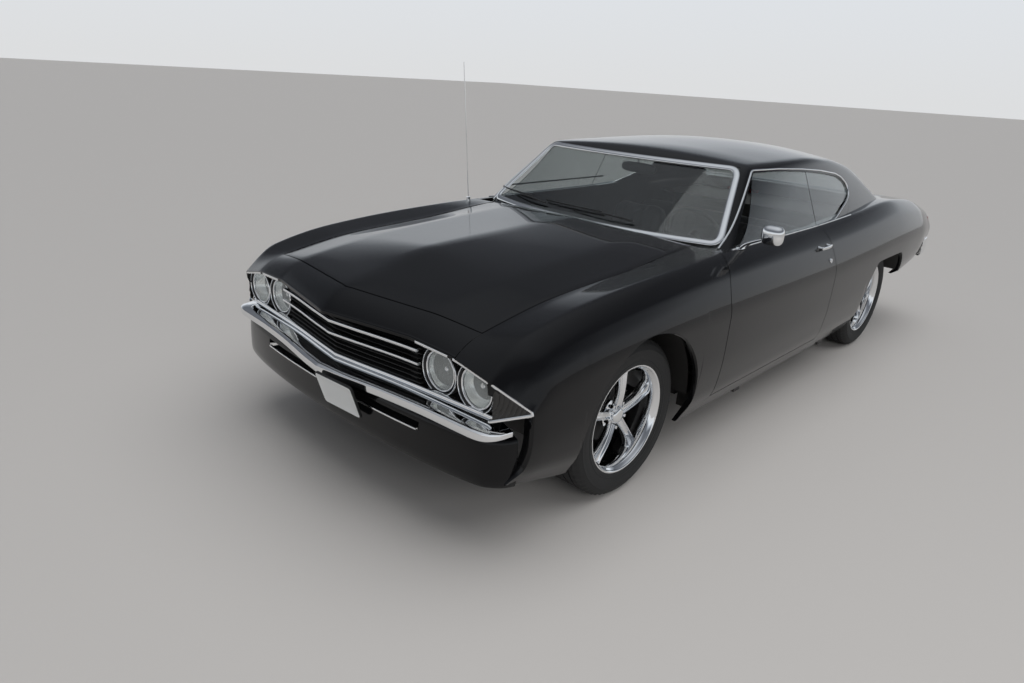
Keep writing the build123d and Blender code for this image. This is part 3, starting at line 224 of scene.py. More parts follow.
by_slot = {
    "body_paint": paint, "glass": glass, "chrome": chrome, "grille_black": satin, "lamp_glass": lamp_glass,
    "corner_lens": corner_lens, "tail_lens": red_lens, "plate": plate_paint, "chassis_black": chassis_paint,
    "engine_paint": iron, "exhaust_steel": steel, "interior_black": satin, "seat_vinyl": vinyl,
    "wheel_chrome": chrome, "tyre_rubber": rubber,
}
for entry in frame["record"]["subparts"]:
    thing = nodes[entry["node"]]
    thing.data.materials.clear()
    thing.data.materials.append(by_slot[entry["material_slot"]])
print("materials", len(bpy.data.materials))

# %% [markdown]
# The panels of this body are long pressings whose shape hardly changes from one hand's width to the next.
# A subdivided box could be pushed into shape, but the gaps between panels would wander. Here the body is one
# surface worked out from a short table of sections, and each panel is a window cut out of it by its own
# edges, so that neighbours always line up. The first cell holds the helpers that turn arrays into meshes.

# %% Helpers: a smooth curve through a table, and a mesh from grids
def cubic(t, step, start, end, start_slope, end_slope):
    """The cubic from start to end with the given slopes at both, at the share t of a step."""
    return (start * (1 + 2 * t) * (1 - t) ** 2 + end * t * t * (3 - 2 * t)
            + step * (start_slope * t * (1 - t) ** 2 - end_slope * t * t * (1 - t)))


def knot_slopes(rise):
    """Slopes at the inner knots, last axis: the harmonic mean of the slopes beside each, zero at a peak."""
    before, after = rise[..., :-1], rise[..., 1:]
    same = before * after > 0
    return np.where(same, 2 * before * after / np.where(same, before + after, 1), 0)


def smooth(at, knots, values):
    """Values at `at` on a curve through (knots, values): cubic pieces whose slopes at the knots keep the
    curve from ever overshooting the table."""
    knots = np.asarray(knots, float)
    values = np.asarray(values, float).reshape(len(knots), -1)
    at = np.asarray(at, float)
    step = np.diff(knots)[:, None]
    rise = np.diff(values, axis=0) / step
    slope = np.vstack([rise[:1], knot_slopes(rise.T).T, rise[-1:]])
    flat = np.clip(at.ravel(), knots[0], knots[-1])
    i = np.clip(np.searchsorted(knots, flat, side="right") - 1, 0, len(knots) - 2)
    t = ((flat - knots[i]) / step[i, 0])[:, None]
    made = cubic(t, step[i], values[i], values[i + 1], slope[i], slope[i + 1])
    return made.reshape(at.shape + (values.shape[1],))


def bend(start, corner, end, t):
    """A quadratic curve from start to end that is drawn towards the corner, at the share t."""
    return start * (1 - t) ** 2 + 2 * corner * t * (1 - t) + end * t ** 2


def through(points, count):
    """A smooth path through given points, spaced evenly: a Catmull-Rom curve, then arc-length steps."""
    points = np.asarray(points, float)
    ends = np.vstack([2 * points[0] - points[1], points, 2 * points[-1] - points[-2]])
    t = np.linspace(0, 1, 24, endpoint=False)[None, :, None]
    a, b, c, d = (ends[k:len(ends) - 3 + k, None, :] for k in range(4))
    fine = 0.5 * (2 * b + (c - a) * t + (2 * a - 5 * b + 4 * c - d) * t ** 2
                  + (3 * b - a - 3 * c + d) * t ** 3)
    return even(np.vstack([fine.reshape(-1, points.shape[1]), points[-1:]]), count)


def even(points, count):
    """The same path with `count` points at equal distances along it."""
    run = np.concatenate([[0], np.cumsum(np.linalg.norm(np.diff(points, axis=0), axis=1))])
    want = np.linspace(0, run[-1], count)
    return np.stack([np.interp(want, run, points[:, k]) for k in range(points.shape[1])], axis=-1)


def grid_faces(rows, columns, wrap):
    """Quads between the neighbouring points of a grid, as indices. With wrap the last column meets the
    first."""
    r, c = np.meshgrid(np.arange(rows - 1), np.arange(columns if wrap else columns - 1), indexing="ij")
    here = r * columns + c
    after = r * columns + (c + 1) % columns
    return np.stack([here, after, after + columns, here + columns], -1).reshape(-1, 4)


def turned_out(points, quads, inside):
    """Turns a grid's faces over as a whole if, added up, they look towards the point `inside`."""
    a, b, c, d = (points[quads[:, k]] for k in range(4))
    area = np.cross(c - a, d - b)
    away = (a + b + c + d) / 4 - np.asarray(inside, float)
    return quads if np.einsum("ij,ij->", area, away) >= 0 else quads[:, ::-1]


def thickened(thing, wall):
    """Replaces a skin by the same skin with a wall inside it."""
    thick = thing.modifiers.new("wall", "SOLIDIFY")
    thick.thickness = wall
    thick.offset = -1
    thick.use_even_offset = False
    bpy.context.view_layer.update()
    made = bpy.data.meshes.new_from_object(thing.evaluated_get(bpy.context.evaluated_depsgraph_get()))
    thing.modifiers.clear()
    thing.data = made


def piece(name, grids, slot, body="body", stands_for=(), wall=0.0, wrap=False, caps=False, sharp=35.0,
          material=None, inside=None):
    """One object from a list of point grids, in the material of its slot unless another one is given. Faces
    look away from the point `inside`, or from each grid's own middle. A wall thickens the piece inwards.
    With wrap a grid's columns close to rings, and caps close its two ends as well. Doubles are merged and
    edges sharper than `sharp` degrees are kept crisp."""
    points, faces, start = [], [], 0
    for grid in grids:
        rows, columns = grid.shape[:2]
        flat = grid.reshape(-1, 3)
        quads = turned_out(flat, grid_faces(rows, columns, wrap or caps),
                           flat.mean(0) if inside is None else inside)
        faces += (quads + start).tolist()
        if caps:
            reversed_faces = quads[0, 0] != 0
            first = list(range(start, start + columns))
            last = list(range(start + (rows - 1) * columns, start + rows * columns))
            faces += [first if reversed_faces else first[::-1], last[::-1] if reversed_faces else last]
        points.append(flat)
        start += len(flat)
    mesh = bpy.data.meshes.new(name)
    mesh.from_pydata(np.vstack(points).tolist(), [], faces)
    work = bmesh.new()
    work.from_mesh(mesh)
    bmesh.ops.remove_doubles(work, verts=work.verts, dist=2e-5)
    bmesh.ops.dissolve_degenerate(work, edges=work.edges, dist=1e-6)
    work.to_mesh(mesh)
    work.free()
    thing = bpy.data.objects.new(name, mesh)
    bpy.context.scene.collection.objects.link(thing)
    if wall:
        thickened(thing, wall)
    thing.data.shade_smooth()
    thing.data.set_sharp_from_angle(angle=math.radians(sharp))
    thing.data.materials.clear()
    thing.data.materials.append(material or by_slot[slot])
    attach(thing, body)
    if stands_for:
        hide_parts(*stands_for)
    return thing


def flipped(grid):
    """The same grid on the other side of the car."""
    return grid * np.array([-1.0, 1.0, 1.0])


def both(*grids):
    """The grids, and then the same ones on the other side of the car."""
    return [*grids, *(flipped(grid) for grid in grids)]


# What turns a grid of the left side into that of each side
SIDES = {"left": lambda grid: grid, "right": flipped}


def sweep(path, normals, profile, closed=False):
    """A profile carried along a path. Each profile point is (across, out): across runs along the path's
    tangent times its normal, and out runs along the normal."""
    path = np.asarray(path, float)
    tangent = np.roll(path, -1, 0) - np.roll(path, 1, 0) if closed else np.gradient(path, axis=0)
    tangent /= np.linalg.norm(tangent, axis=1, keepdims=True)
    normals = np.broadcast_to(np.asarray(normals, float), path.shape)
    normals = normals - np.einsum("ij,ij->i", normals, tangent)[:, None] * tangent
    normals = normals / np.linalg.norm(normals, axis=1, keepdims=True)
    across = np.cross(tangent, normals)
    profile = np.asarray(profile, float)
    made = path[:, None] + across[:, None] * profile[None, :, :1] + normals[:, None] * profile[None, :, 1:]
    return np.concatenate([made, made[:1]]) if closed else made


def crowned(width, height, points, foot):
    """A moulding's section: a low arch of the given width and height over a foot below the surface."""
    angle = np.linspace(0, np.pi, points)
    arch = np.stack([width / 2 * np.cos(angle), height * np.sin(angle)], -1)
    return np.vstack([arch, [[-width / 2, foot], [width / 2, foot]]])


print("helpers ready")

# %% [markdown]
# The body's sections run from nose to tail. Each gives the height of the ridge in the middle of the top, of
# the fold beside it and of the seam, then the crease where the top meets the side, the widest point, the
# sill and the lower edge. Between the sections a smooth curve takes over, which is how a pressing behaves.

# %% Body sections
mm = 0.001
# y, ridge_z, fold_z, seam_z, crease_x, crease_z, side_x, side_z, sill_x, sill_z, edge_x, edge_z
BODY_SECTIONS = np.array([
    (-2470, 772, 742, 728, 812, 692, 905, 575, 898, 440, 870, 380),
    (-2340, 829, 798, 778, 822, 737, 922, 600, 912, 420, 872, 340),
    (-2180, 872, 848, 812, 828, 822, 940, 640, 928, 390, 876, 300),
    (-1880, 934, 892, 860, 832, 880, 952, 680, 938, 365, 880, 240),
    (-1400, 955, 930, 890, 832, 917, 961, 695, 944, 350, 880, 215),
    (-860, 972, 955, 936, 824, 934, 964, 690, 945, 345, 880, 205),
    (100, 975, 962, 946, 822, 938, 965, 680, 945, 345, 880, 205),
    (900, 980, 972, 962, 824, 962, 965, 700, 944, 355, 880, 215),
    (1450, 982, 979, 974, 806, 982, 960, 715, 938, 480, 900, 450),
    (2000, 950, 949, 947, 786, 946, 938, 710, 912, 520, 872, 488),
    (2460, 880, 879, 877, 750, 862, 876, 690, 853, 560, 822, 530),
]) * mm
fold_x = 0.450
seam_x = 0.660
lid_x = 0.610
gap = 0.005
edge_round = 0.022
shoulder_out = 0.6
shoulder_down = 0.34
flank_bulge = 0.008


def section(y):
    """The eleven values of the section at y, last axis."""
    return smooth(y, BODY_SECTIONS[:, 0], BODY_SECTIONS[:, 1:])


def softened(distance, turn, reach):
    """What rounds a crease: a parabola of the given reach on each side, as deep as the slope's turn asks."""
    return turn * np.maximum(reach - np.abs(distance), 0) ** 2 / (4 * reach)


def top_height(x, y):
    """Height of the body's top: straight from ridge to fold to seam to crease, with each crease rounded."""
    ridge, fold, seam, crease_x, crease_z = (section(y)[..., k] for k in range(5))
    x = np.abs(x)
    inner = (fold - ridge) / fold_x
    middle = (seam - fold) / (seam_x - fold_x)
    outer = (crease_z - seam) / (crease_x - seam_x)
    height = np.where(x < fold_x, ridge + inner * x,
                      np.where(x < seam_x, fold + middle * (x - fold_x), seam + outer * (x - seam_x)))
    return (height + softened(x, 2 * inner, 0.05) + softened(x - fold_x, middle - inner, 0.035)
            + softened(x - seam_x, outer - middle, 0.03))


# Nose line seen from above: the lip over the grille, then the raked end of the fender
NOSE = np.array([(0, -2452), (440, -2374), (817, -2345), (932, -2246), (1000, -2240)]) * mm
nose_fall = 0.030
nose_run = 0.110
corner_fall = 1.1


def nose_y(x):
    """Where the body ends in front, at a distance x from the middle."""
    return np.interp(np.abs(x), NOSE[:, 0], NOSE[:, 1])


def rolled_nose(x, y, z):
    """How much lower the skin lies near the nose line: a parabola over nose_run, gone below the shoulder."""
    near = 1 - np.clip((y - nose_y(x)) / nose_run, 0, 1)
    corner = 1 + corner_fall * np.clip((np.abs(x) - 0.82) / 0.05, 0, 1)
    return nose_fall * corner * near ** 2 * np.clip((z - 0.595) / 0.09, 0, 1)


def side_reach(y, z):
    """How far out the side stands at y and z: a smooth curve down through crease, shoulder, widest point,
    flank, sill and lower edge, with each point's own height."""
    crease_x, crease_z, side_x, side_z, sill_x, sill_z, edge_x, edge_z = np.moveaxis(section(y), -1, 0)[3:]
    shoulder_x = crease_x + shoulder_out * (side_x - crease_x)
    shoulder_z = crease_z - shoulder_down * (crease_z - side_z)
    knots = np.stack([crease_z, shoulder_z, side_z, (side_z + sill_z) / 2, sill_z, edge_z], -1)
    values = np.stack([crease_x, shoulder_x, side_x, (side_x + sill_x) / 2 + flank_bulge, sill_x, edge_x], -1)
    step = np.diff(knots, axis=-1)
    rise = np.diff(values, axis=-1) / step
    slope = np.concatenate([1.25 * rise[..., :1], knot_slopes(rise), rise[..., -1:]], -1)
    i = np.clip((z[..., None] < knots[..., 1:-1]).sum(-1), 0, 4)[..., None]

    def pick(table, shift=0):
        return np.take_along_axis(table, i + shift, -1)[..., 0]

    h = pick(step)
    t = np.clip((z - pick(knots)) / h, -0.5, 1)
    return cubic(t, h, pick(values), pick(values, 1), pick(slope), pick(slope, 1))


def top_points(x, y):
    """Points of the body's top at x and y, rolled down near the nose line."""
    x, y = np.broadcast_arrays(x, y)
    z = top_height(x, y)
    return np.stack([x, y, z - rolled_nose(x, y, z)], -1)


def around(y, s, top_x, z_middle, z_low):
    """A point of the body's side at y. s runs 0 to 1 across the top from top_x to the crease, 1 to 2 round
    the crease, 2 to 3 down to z_middle and 3 to 4 down to z_low."""
    crease_x = section(y)[..., 3]
    crease_z = section(y)[..., 4]
    start_x = crease_x - edge_round
    end_z = crease_z - edge_round
    flat_x = top_x + (start_x - top_x) * np.clip(s, 0, 1)
    flat_z = top_height(flat_x, y)
    t = np.clip(s - 1, 0, 1)
    round_x = bend(start_x, crease_x, side_reach(y, end_z), t)
    round_z = bend(top_height(start_x, y), crease_z, end_z, t)
    middle = np.minimum(z_middle, end_z - 0.01)
    side_z = np.where(s < 3, end_z + (middle - end_z) * np.clip(s - 2, 0, 1),
                      middle + (z_low - middle) * np.clip(s - 3, 0, 1))
    x = np.where(s < 1, flat_x, np.where(s < 2, round_x, side_reach(y, side_z)))
    z = np.where(s < 1, flat_z, np.where(s < 2, round_z, side_z))
    return np.stack([x, y + 0 * x, z - rolled_nose(x, y, z)], -1)


s_steps = np.concatenate([np.linspace(0, 1, 10), np.linspace(1, 2, 7)[1:], np.linspace(2, 3, 15)[1:],
                          np.linspace(3, 4, 20)[1:]])
print("body length", BODY_SECTIONS[-1, 0] - BODY_SECTIONS[0, 0])

# %% [markdown]
# The wheel openings are round, and a grid that meets a circle needs its columns crowded where the circle
# stands upright. So the columns over an opening follow the cosine of an even angle, and the lower edge of
# each column is either the circle above it or the rocker.

# %% Columns and the lower edge
axle_z = 0.341
front_axle = -1.5805
rear_axle = 1.2645
arch_radius = 0.396
rear_arch_top = 0.655
# Columns on each side of an opening, and columns over it
beside_arch, over_arch = 26, 40


def columns(y_low, y_high, axle):
    """Places of the columns from one end of a panel to the other, crowded at the two sides of the opening."""
    arch = axle + arch_radius * np.cos(np.linspace(np.pi, 0, over_arch))
    nudge = 0.0015
    before = np.linspace(y_low, arch[0] - nudge, beside_arch)
    after = np.linspace(arch[-1] + nudge, y_high, beside_arch)
    return np.concatenate([before, arch, after])


def lower_edge(y, axle, cut_top):
    """The height at which a column ends: over the opening the circle, cut level at cut_top, else the edge."""
    away = np.abs(y - axle)
    circle = axle_z + np.sqrt(np.maximum(arch_radius ** 2 - away ** 2, 0))
    edge = section(y)[..., 10]
    round_top = cut_top - 0.03 * (away / arch_radius) ** 4
    return np.where(away <= arch_radius + 1e-6, np.maximum(np.minimum(circle, round_top), edge), edge)


print("columns of a panel with an opening", 2 * beside_arch + over_arch)

# %% [markdown]
# The fender is the first panel: from the hood's seam over the crease and down the side, from the raked
# nose back to the door. Its front edge depends on how far out each point lies, and how far out it lies
# depends on where it is, so the front edge is found by going round that loop a few times.

# %% Fenders
door_front_y = -0.985
door_back_y = 0.245
door_foot_z = 0.295
fender_nose_y = -2.345
# A height above the wheel's circle, so that the front opening isn't cut level
uncut = 1.0
# Heights on the side up to which a panel's upper rows reach
fender_waist = 0.765
waist = 0.72
skin_wall = 0.0025
lip_depth = 0.024
# Front edge of a door seen from the side, from the foot up: y, z
DOOR_EDGE = np.array([(-985, 200), (-985, 600), (-985, 740), (-955, 828), (-905, 905), (-826, 1000)]) * mm


def door_line(z):
    """Where the door's front edge lies at a height z."""
    return smooth(z, DOOR_EDGE[:, 1], DOOR_EDGE[:, 0])[..., 0]


def fender_grid():
    """The left fender: columns from nose to door, rows from the seam over the crease to the lower edge."""
    place = columns(fender_nose_y, door_front_y, front_axle)
    share = ((place - place[0]) / (place[-1] - place[0]))[:, None]
    arch_start, arch_end = share[beside_arch - 1], share[beside_arch + over_arch]
    ahead = 1 - np.clip(share / arch_start, 0, 1)
    behind = np.clip((share - arch_end) / (1 - arch_end), 0, 1)
    y = np.repeat(place[:, None], len(s_steps), 1)
    s = np.broadcast_to(s_steps, y.shape)
    for _ in range(6):
        points = around(y, s, seam_x + gap / 2, fender_waist, lower_edge(y, front_axle, uncut))
        front = nose_y(points[..., 0]) * np.ones_like(y)
        back = door_line(points[..., 2]) - gap
        y = place[:, None] + ahead * (front - place[0]) + behind * (back - place[-1])
    return around(y, s, seam_x + gap / 2, fender_waist, lower_edge(y, front_axle, uncut))


fender = fender_grid()


def rolled_lip(row, inward):
    """A flange along a panel's edge: a short strip that turns in towards the middle of the car."""
    steps = np.array([0, 0.25, 0.6, 1.0])
    drop = np.array([0, -0.004, -0.005, -0.003])
    return row[None] + np.stack([-inward * steps, 0 * steps, drop], -1)[:, None, :]


piece("fender_panels", both(fender, rolled_lip(fender[:, -1], lip_depth)), "body_paint",
      inside=(0, -1.4, 0.4), stands_for=["fenders"], wall=skin_wall)
print("fender grid", fender.shape)

# %% [markdown]
# Hood and nose panel share the top surface. The hood's seam is a shallow V in front and an arc along the
# windshield, and every edge of it is turned down, as a real skin is hemmed over its frame.

# %% Hood and nose panel
HOOD_FRONT = ((0, -2.338), (seam_x, -2.232))
HOOD_BACK = (-0.954, -0.872)


def seam_front(x):
    """The seam between nose panel and hood: a V in plan."""
    corners = np.array(HOOD_FRONT)
    return np.interp(np.abs(x), corners[:, 0], corners[:, 1])


def seam_back(x):
    """The hood's rear edge: an arc in plan, worked out as a parabola."""
    return HOOD_BACK[0] + (HOOD_BACK[1] - HOOD_BACK[0]) * (np.abs(x) / seam_x) ** 2


def across_steps(half):
    """Places across the car that crowd at the ridge and at the folds, and end at the given half width."""
    inner = np.concatenate([np.linspace(0, 0.05, 5), np.linspace(0.05, fold_x - 0.035, 9)[1:],
                            np.linspace(fold_x - 0.035, fold_x + 0.035, 7)[1:],
                            np.linspace(fold_x + 0.035, half, 7)[1:]])
    return np.concatenate([-inner[:0:-1], inner])


def hemmed(grid, depth=0.012, round_in=0.004):
    """The grid with its edges turned down: two more rows all round, the first rounding over the edge."""
    def grown(points, drop, out):
        rim = np.pad(points, ((1, 1), (1, 1), (0, 0)), mode="edge")
        middle = points.reshape(-1, 3).mean(0)
        edge = np.ones(rim.shape[:2], bool)
        edge[1:-1, 1:-1] = False
        way = np.sign(rim - middle)
        side = np.zeros(rim.shape)
        side[:, 0, 0] = side[:, -1, 0] = out
        side[0, :, 1] = side[-1, :, 1] = out
        rim = rim + side * way
        rim[..., 2] -= np.where(edge, drop, 0)
        return rim
    return grown(grown(grid, round_in * 0.35, round_in * 0.6), depth, round_in * 0.1)


hem_room = 0.003
hood_x = across_steps(seam_x - gap / 2 - hem_room)
v = np.linspace(0, 1, 60)[:, None]
hood_y = (seam_front(hood_x) + gap / 2 + hem_room) * (1 - v) + (seam_back(hood_x) - hem_room) * v
hood = top_points(hood_x, hood_y)
piece("hood_skin", [hemmed(hood)], "body_paint", "hood", inside=(0, -1.6, 0.4), stands_for=["hood"],
      wall=skin_wall)

lip_roll = 0.007
lip_front_height = 0.008
lip_return = np.array([0, 0.035, -0.001])
nose_x = across_steps(seam_x)
v = np.linspace(0, 1, 26)[:, None] ** 1.5
panel_y = (nose_y(nose_x) + lip_roll) * (1 - v) + (seam_front(nose_x) - gap / 2) * v
panel = top_points(nose_x, panel_y)
turn = np.linspace(0, np.pi / 2, 6)[::-1, None]
lip_y = nose_y(nose_x) + lip_roll * (1 - np.sin(turn))
lip_z = panel[0, :, 2] - lip_roll * (1 - np.cos(turn)) - 0.1 * lip_roll * np.sin(turn)
lip = np.stack(np.broadcast_arrays(nose_x, lip_y, lip_z), -1)
fall = np.linspace(0, 1, 4)[1:, None]
front_face = np.stack(np.broadcast_arrays(nose_x, nose_y(nose_x), lip_z[0] - lip_front_height * fall), -1)
under = front_face[-1:] + lip_return
nose_grid = np.concatenate([under, front_face[::-1], lip, panel[1:]])
piece("nose_panel", [nose_grid], "body_paint", inside=(0, -2.2, 0.4), stands_for=["header_panel"],
      wall=skin_wall)
print("hood grid", hood.shape, "nose grid", nose_grid.shape)

# %% [markdown]
# A door is a closed box: the outer skin comes from the same surface, and the inner face is a flat lining
# with a soft armrest. One closed loop of points runs down the outside and up the inside at every column.

# %% Doors
door_top_x = 0.775
# The lining's section from the foot up: how far out it lies, and its height
LINING = np.array([(800, 300), (790, 500), (775, 640), (735, 665), (735, 690), (775, 715), (775, 900)]) * mm


def door_grid(count=44):
    """The left door as a ring of points at each column: outer skin from the top to the foot, then the
    lining."""
    place = np.linspace(0, 1, count)[:, None]
    s = np.broadcast_to(s_steps, (count, len(s_steps)))
    y = door_front_y + (door_back_y - door_front_y) * place + 0 * s
    for _ in range(5):
        front = door_line(around(y, s, door_top_x, waist, door_foot_z)[..., 2])
        y = front + (door_back_y - front) * place
    outer = around(y, s, door_top_x, waist, door_foot_z)
    lining_front = door_line(LINING[:, 1])
    inner_y = lining_front + (door_back_y - lining_front) * place
    inner = np.stack(np.broadcast_arrays(LINING[:, 0], inner_y, LINING[:, 1]), -1)
    return np.concatenate([outer, inner], 1)


door = door_grid()
for side, turn_over in SIDES.items():
    piece(f"door_shell_{side}", [turn_over(door)], "body_paint", f"door_{side}", stands_for=[f"door_{side}"],
          caps=True)
print("door grid", door.shape)

# %% [markdown]
# The quarter panel reaches from the door to the tail. Its inner edge on top follows the foot of the roof,
# and under the door it goes on as the rocker. Behind the rear window a short panel joins the two sides.

# %% Quarters, rocker and the panel behind the rear window
quarter_in = np.array([(245, 762), (900, 745), (1300, 705), (1560, 650), (1700, 612.5), (2460, 612.5)]) * mm
quarter_end_y = 2.452
# Behind the first of these places the quarter ends at the second value's height, over the bumper
over_bumper_y, over_bumper_z = 2.15, 0.646
place = columns(door_back_y + gap, quarter_end_y, rear_axle)
y = np.repeat(place[:, None], len(s_steps), 1)
inner_x = smooth(y, quarter_in[:, 0], quarter_in[:, 1])[..., 0]
behind = np.clip((y - over_bumper_y) / 0.05, 0, 1)
quarter_low = np.maximum(lower_edge(y, rear_axle, rear_arch_top), over_bumper_z * behind)
quarter = around(y, np.broadcast_to(s_steps, y.shape), inner_x, waist, quarter_low)
quarter_lip = rolled_lip(quarter[:, -1], lip_depth)

rocker_foot_z, rocker_lip_depth = 0.207, 0.05
rocker_y, rocker_z = np.meshgrid(np.linspace(door_front_y - gap, door_back_y + gap, 40),
                                 np.linspace(door_foot_z - gap, rocker_foot_z, 8), indexing="ij")
rocker = np.stack([side_reach(rocker_y, rocker_z), rocker_y, rocker_z], -1)
rocker_lip = rolled_lip(rocker[:, -1], rocker_lip_depth)

back_x, back_y = np.meshgrid(np.linspace(-0.64, 0.64, 41), np.linspace(1.50, 1.794, 14), indexing="ij")
back_panel = top_points(back_x, back_y)
piece("quarter_panels", [*both(quarter, quarter_lip), *both(rocker, rocker_lip), back_panel], "body_paint",
      inside=(0, 1.0, 0.4), stands_for=["quarters"], wall=skin_wall)

lid_half = lid_x - gap / 2 - hem_room
lid_grid_x, lid_grid_y = np.meshgrid(np.linspace(-1, 1, 41) * lid_half, np.linspace(1.803, 2.425, 34),
                                     indexing="xy")
piece("deck_lid_skin", [hemmed(top_points(lid_grid_x, lid_grid_y))], "body_paint", "deck_lid",
      inside=(0, 2.1, 0.4), stands_for=["deck_lid"], wall=skin_wall)
print("quarter grid", quarter.shape)

# %% [markdown]
# The roof, its posts and the glass belong to one closed form: two raked sides, a raked front, a raked back
# and a crown. Each of these five is a simple function that is positive inside. Blending their minimum
# rounds every edge, and any point of the skin is then found by walking outwards until it reaches zero.

# %% Cabin form
# z, front_mid_y, front_x, front_y, side_x, side_y, back_x, back_y, back_mid_y
CABIN_BELT = np.array((900, -980, 815, -800, 828, 300, 735, 1720, 1790)) * mm
CABIN_ROOF = np.array((1300, -447, 632, -390, 655, 300, 590, 930, 995)) * mm
# y, middle_z, side_z
CROWN = np.array([(-520, 1299, 1266), (-200, 1325, 1276), (300, 1341, 1281), (700, 1324, 1252),
                  (1000, 1286, 1204), (1260, 1236, 1144)]) * mm
crown_x = 0.700
edge_softness = 0.011
# How fast the front, the back and the sides come in with height, which makes their values near distances
front_slope, back_slope, side_slope = 1.67, 2.22, 1.09


def cabin(p, inset=0.0):
    """Positive inside the cabin, zero on its skin: the blended minimum of the distances to its five faces."""
    x, y, z = np.abs(p[..., 0]), p[..., 1], p[..., 2]
    share = ((z - CABIN_BELT[0]) / (CABIN_ROOF[0] - CABIN_BELT[0]))[..., None]
    level = CABIN_BELT + (CABIN_ROOF - CABIN_BELT) * share
    _, front_mid, front_x, front_y, side_x, side_y, back_x, back_y, back_mid = np.moveaxis(level, -1, 0)
    front = (y - front_mid - (front_y - front_mid) * (x / front_x) ** 2) / front_slope
    back = (back_mid + (back_y - back_mid) * (x / back_x) ** 2 - y) / back_slope
    a, b, c = front_y, side_y, back_y
    side = (front_x * (y - b) * (y - c) / ((a - b) * (a - c))
            + side_x * (y - a) * (y - c) / ((b - a) * (b - c))
            + back_x * (y - a) * (y - b) / ((c - a) * (c - b)) - x) / side_slope
    crown = smooth(y, CROWN[:, 0], CROWN[:, 1:])
    top = crown[..., 0] - (crown[..., 0] - crown[..., 1]) * (x / crown_x) ** 2 - z
    faces = np.stack([front, back, side, top], -1)
    low = faces.min(-1, keepdims=True)
    soft = low[..., 0] - edge_softness * np.log(np.exp(-(faces - low) / edge_softness).sum(-1))
    return soft - inset


def skin(start, way, inset=0.0, far=2.5):
    """Walks from a point inside along `way` to the skin, by halving the interval forty times."""
    start, way = np.broadcast_arrays(np.asarray(start, float), np.asarray(way, float))
    low = np.zeros(start.shape[:-1])
    high = np.full(start.shape[:-1], far)
    for _ in range(40):
        middle = (low + high) / 2
        inside = cabin(start + way * middle[..., None], inset) > 0
        low = np.where(inside, middle, low)
        high = np.where(inside, high, middle)
    return start + way * low[..., None]


def skin_normal(p):
    """Which way the skin looks at a point: against the slope of the cabin function."""
    small = 1e-4
    slope = np.stack([cabin(p + step) - cabin(p - step) for step in small * np.eye(3)], -1)
    return -slope / np.linalg.norm(slope, axis=-1, keepdims=True)


def from_side(yz, inset=0.0):
    """The skin's point on the left for places y, z seen from the side."""
    yz = np.asarray(yz, float)
    return skin(np.stack([0 * yz[..., 0], yz[..., 0], yz[..., 1]], -1), (1, 0, 0), inset)


def from_end(xz, toward, inset=0.0):
    """The skin's point for places x, z seen from the front (toward -1) or from behind (toward 1)."""
    xz = np.asarray(xz, float)
    middle = np.full(xz.shape[:-1], 0.35)
    return skin(np.stack([xz[..., 0], middle, xz[..., 1]], -1), (0, toward, 0), inset)


WINDSHIELD = np.array([(742, 958), (611, 1268)]) * mm
BACKLIGHT = np.array([(640, 992), (528, 1248)]) * mm
# Side window seen from the side, y and z: the front post, the top, the rear curve and the foot
WINDOW_FRONT = np.array([(-752, 925), (-372, 1246)]) * mm
WINDOW_TOP = np.array([(-372, 1246), (-110, 1243), (160, 1230), (440, 1208), (700, 1176), (800, 1150)]) * mm
WINDOW_BACK = np.array([(800, 1150), (862, 1120), (880, 1085), (868, 1045), (830, 1000), (760, 955),
                        (640, 925)]) * mm
# The window's lower rear edge, from its tip forwards and down to the belt
WINDOW_SLANT = np.array([(884, 1090), (862, 1056), (780, 1027), (690, 1002), (590, 973), (500, 950),
                         (400, 932), (300, 922)]) * mm
print("cabin checks", np.round(cabin(np.array([[0, 0.3, 1.341], [0, 0.3, 1.2]])), 4).tolist())

# %% [markdown]
# The roof skin is made as two kinds of grid. The middle one is seen from above, between the headers of the
# windshield and the rear window. The side one is a long ribbon: up the front post, along the rail, and down
# the rear post, whose foot spreads over the quarter panel. Rays from the middle of the cabin place each
# point of the ribbon on the skin, so the ribbon needs only its two edges.

# %% Roof, posts and rear quarters of the roof
def along(corners, count):
    """A path through corners by straight runs, with its points evenly spaced."""
    return even(np.asarray(corners, float), count)


def header(corner, toward, count=61):
    """The roof's edge over a screen whose upper corner is given, from side to side on the skin."""
    return from_end(np.stack([np.linspace(-1, 1, count) * corner[0], np.full(count, corner[1])], -1), toward)


roof_rows = 44
header_front = header(WINDSHIELD[1], -1)
header_back = header(BACKLIGHT[1], 1)
v = np.linspace(0, 1, roof_rows)[:, None, None]
v = 0.5 - 0.5 * np.cos(np.pi * v)
plan = header_front * (1 - v) + header_back * v
plan[..., 2] = 1.05
roof_middle = skin(plan, (0, 0, 1))

post_rows = 26
front_post = from_end(along([(0.756, 0.925), WINDSHIELD[0], WINDSHIELD[1]], post_rows), -1)
back_post = from_end(along([BACKLIGHT[1], BACKLIGHT[0], (0.640, 0.935)], post_rows), 1)
upper = np.vstack([front_post[:-1], roof_middle[:, -1], back_post[1:]])
post_line = along([(-0.785, 0.900), *WINDOW_FRONT], post_rows)
window_top = through(WINDOW_TOP, roof_rows)
rear_curve = through(WINDOW_BACK[:6], 20)
REAR_FOOT = np.array([(760, 945), (950, 935), (1250, 935), (1500, 930), (1680, 925)]) * mm
back_edge = even(np.vstack([rear_curve, through(REAR_FOOT, 30)]), post_rows)
lower = from_side(np.vstack([post_line[:-1], window_top, back_edge[1:]]))

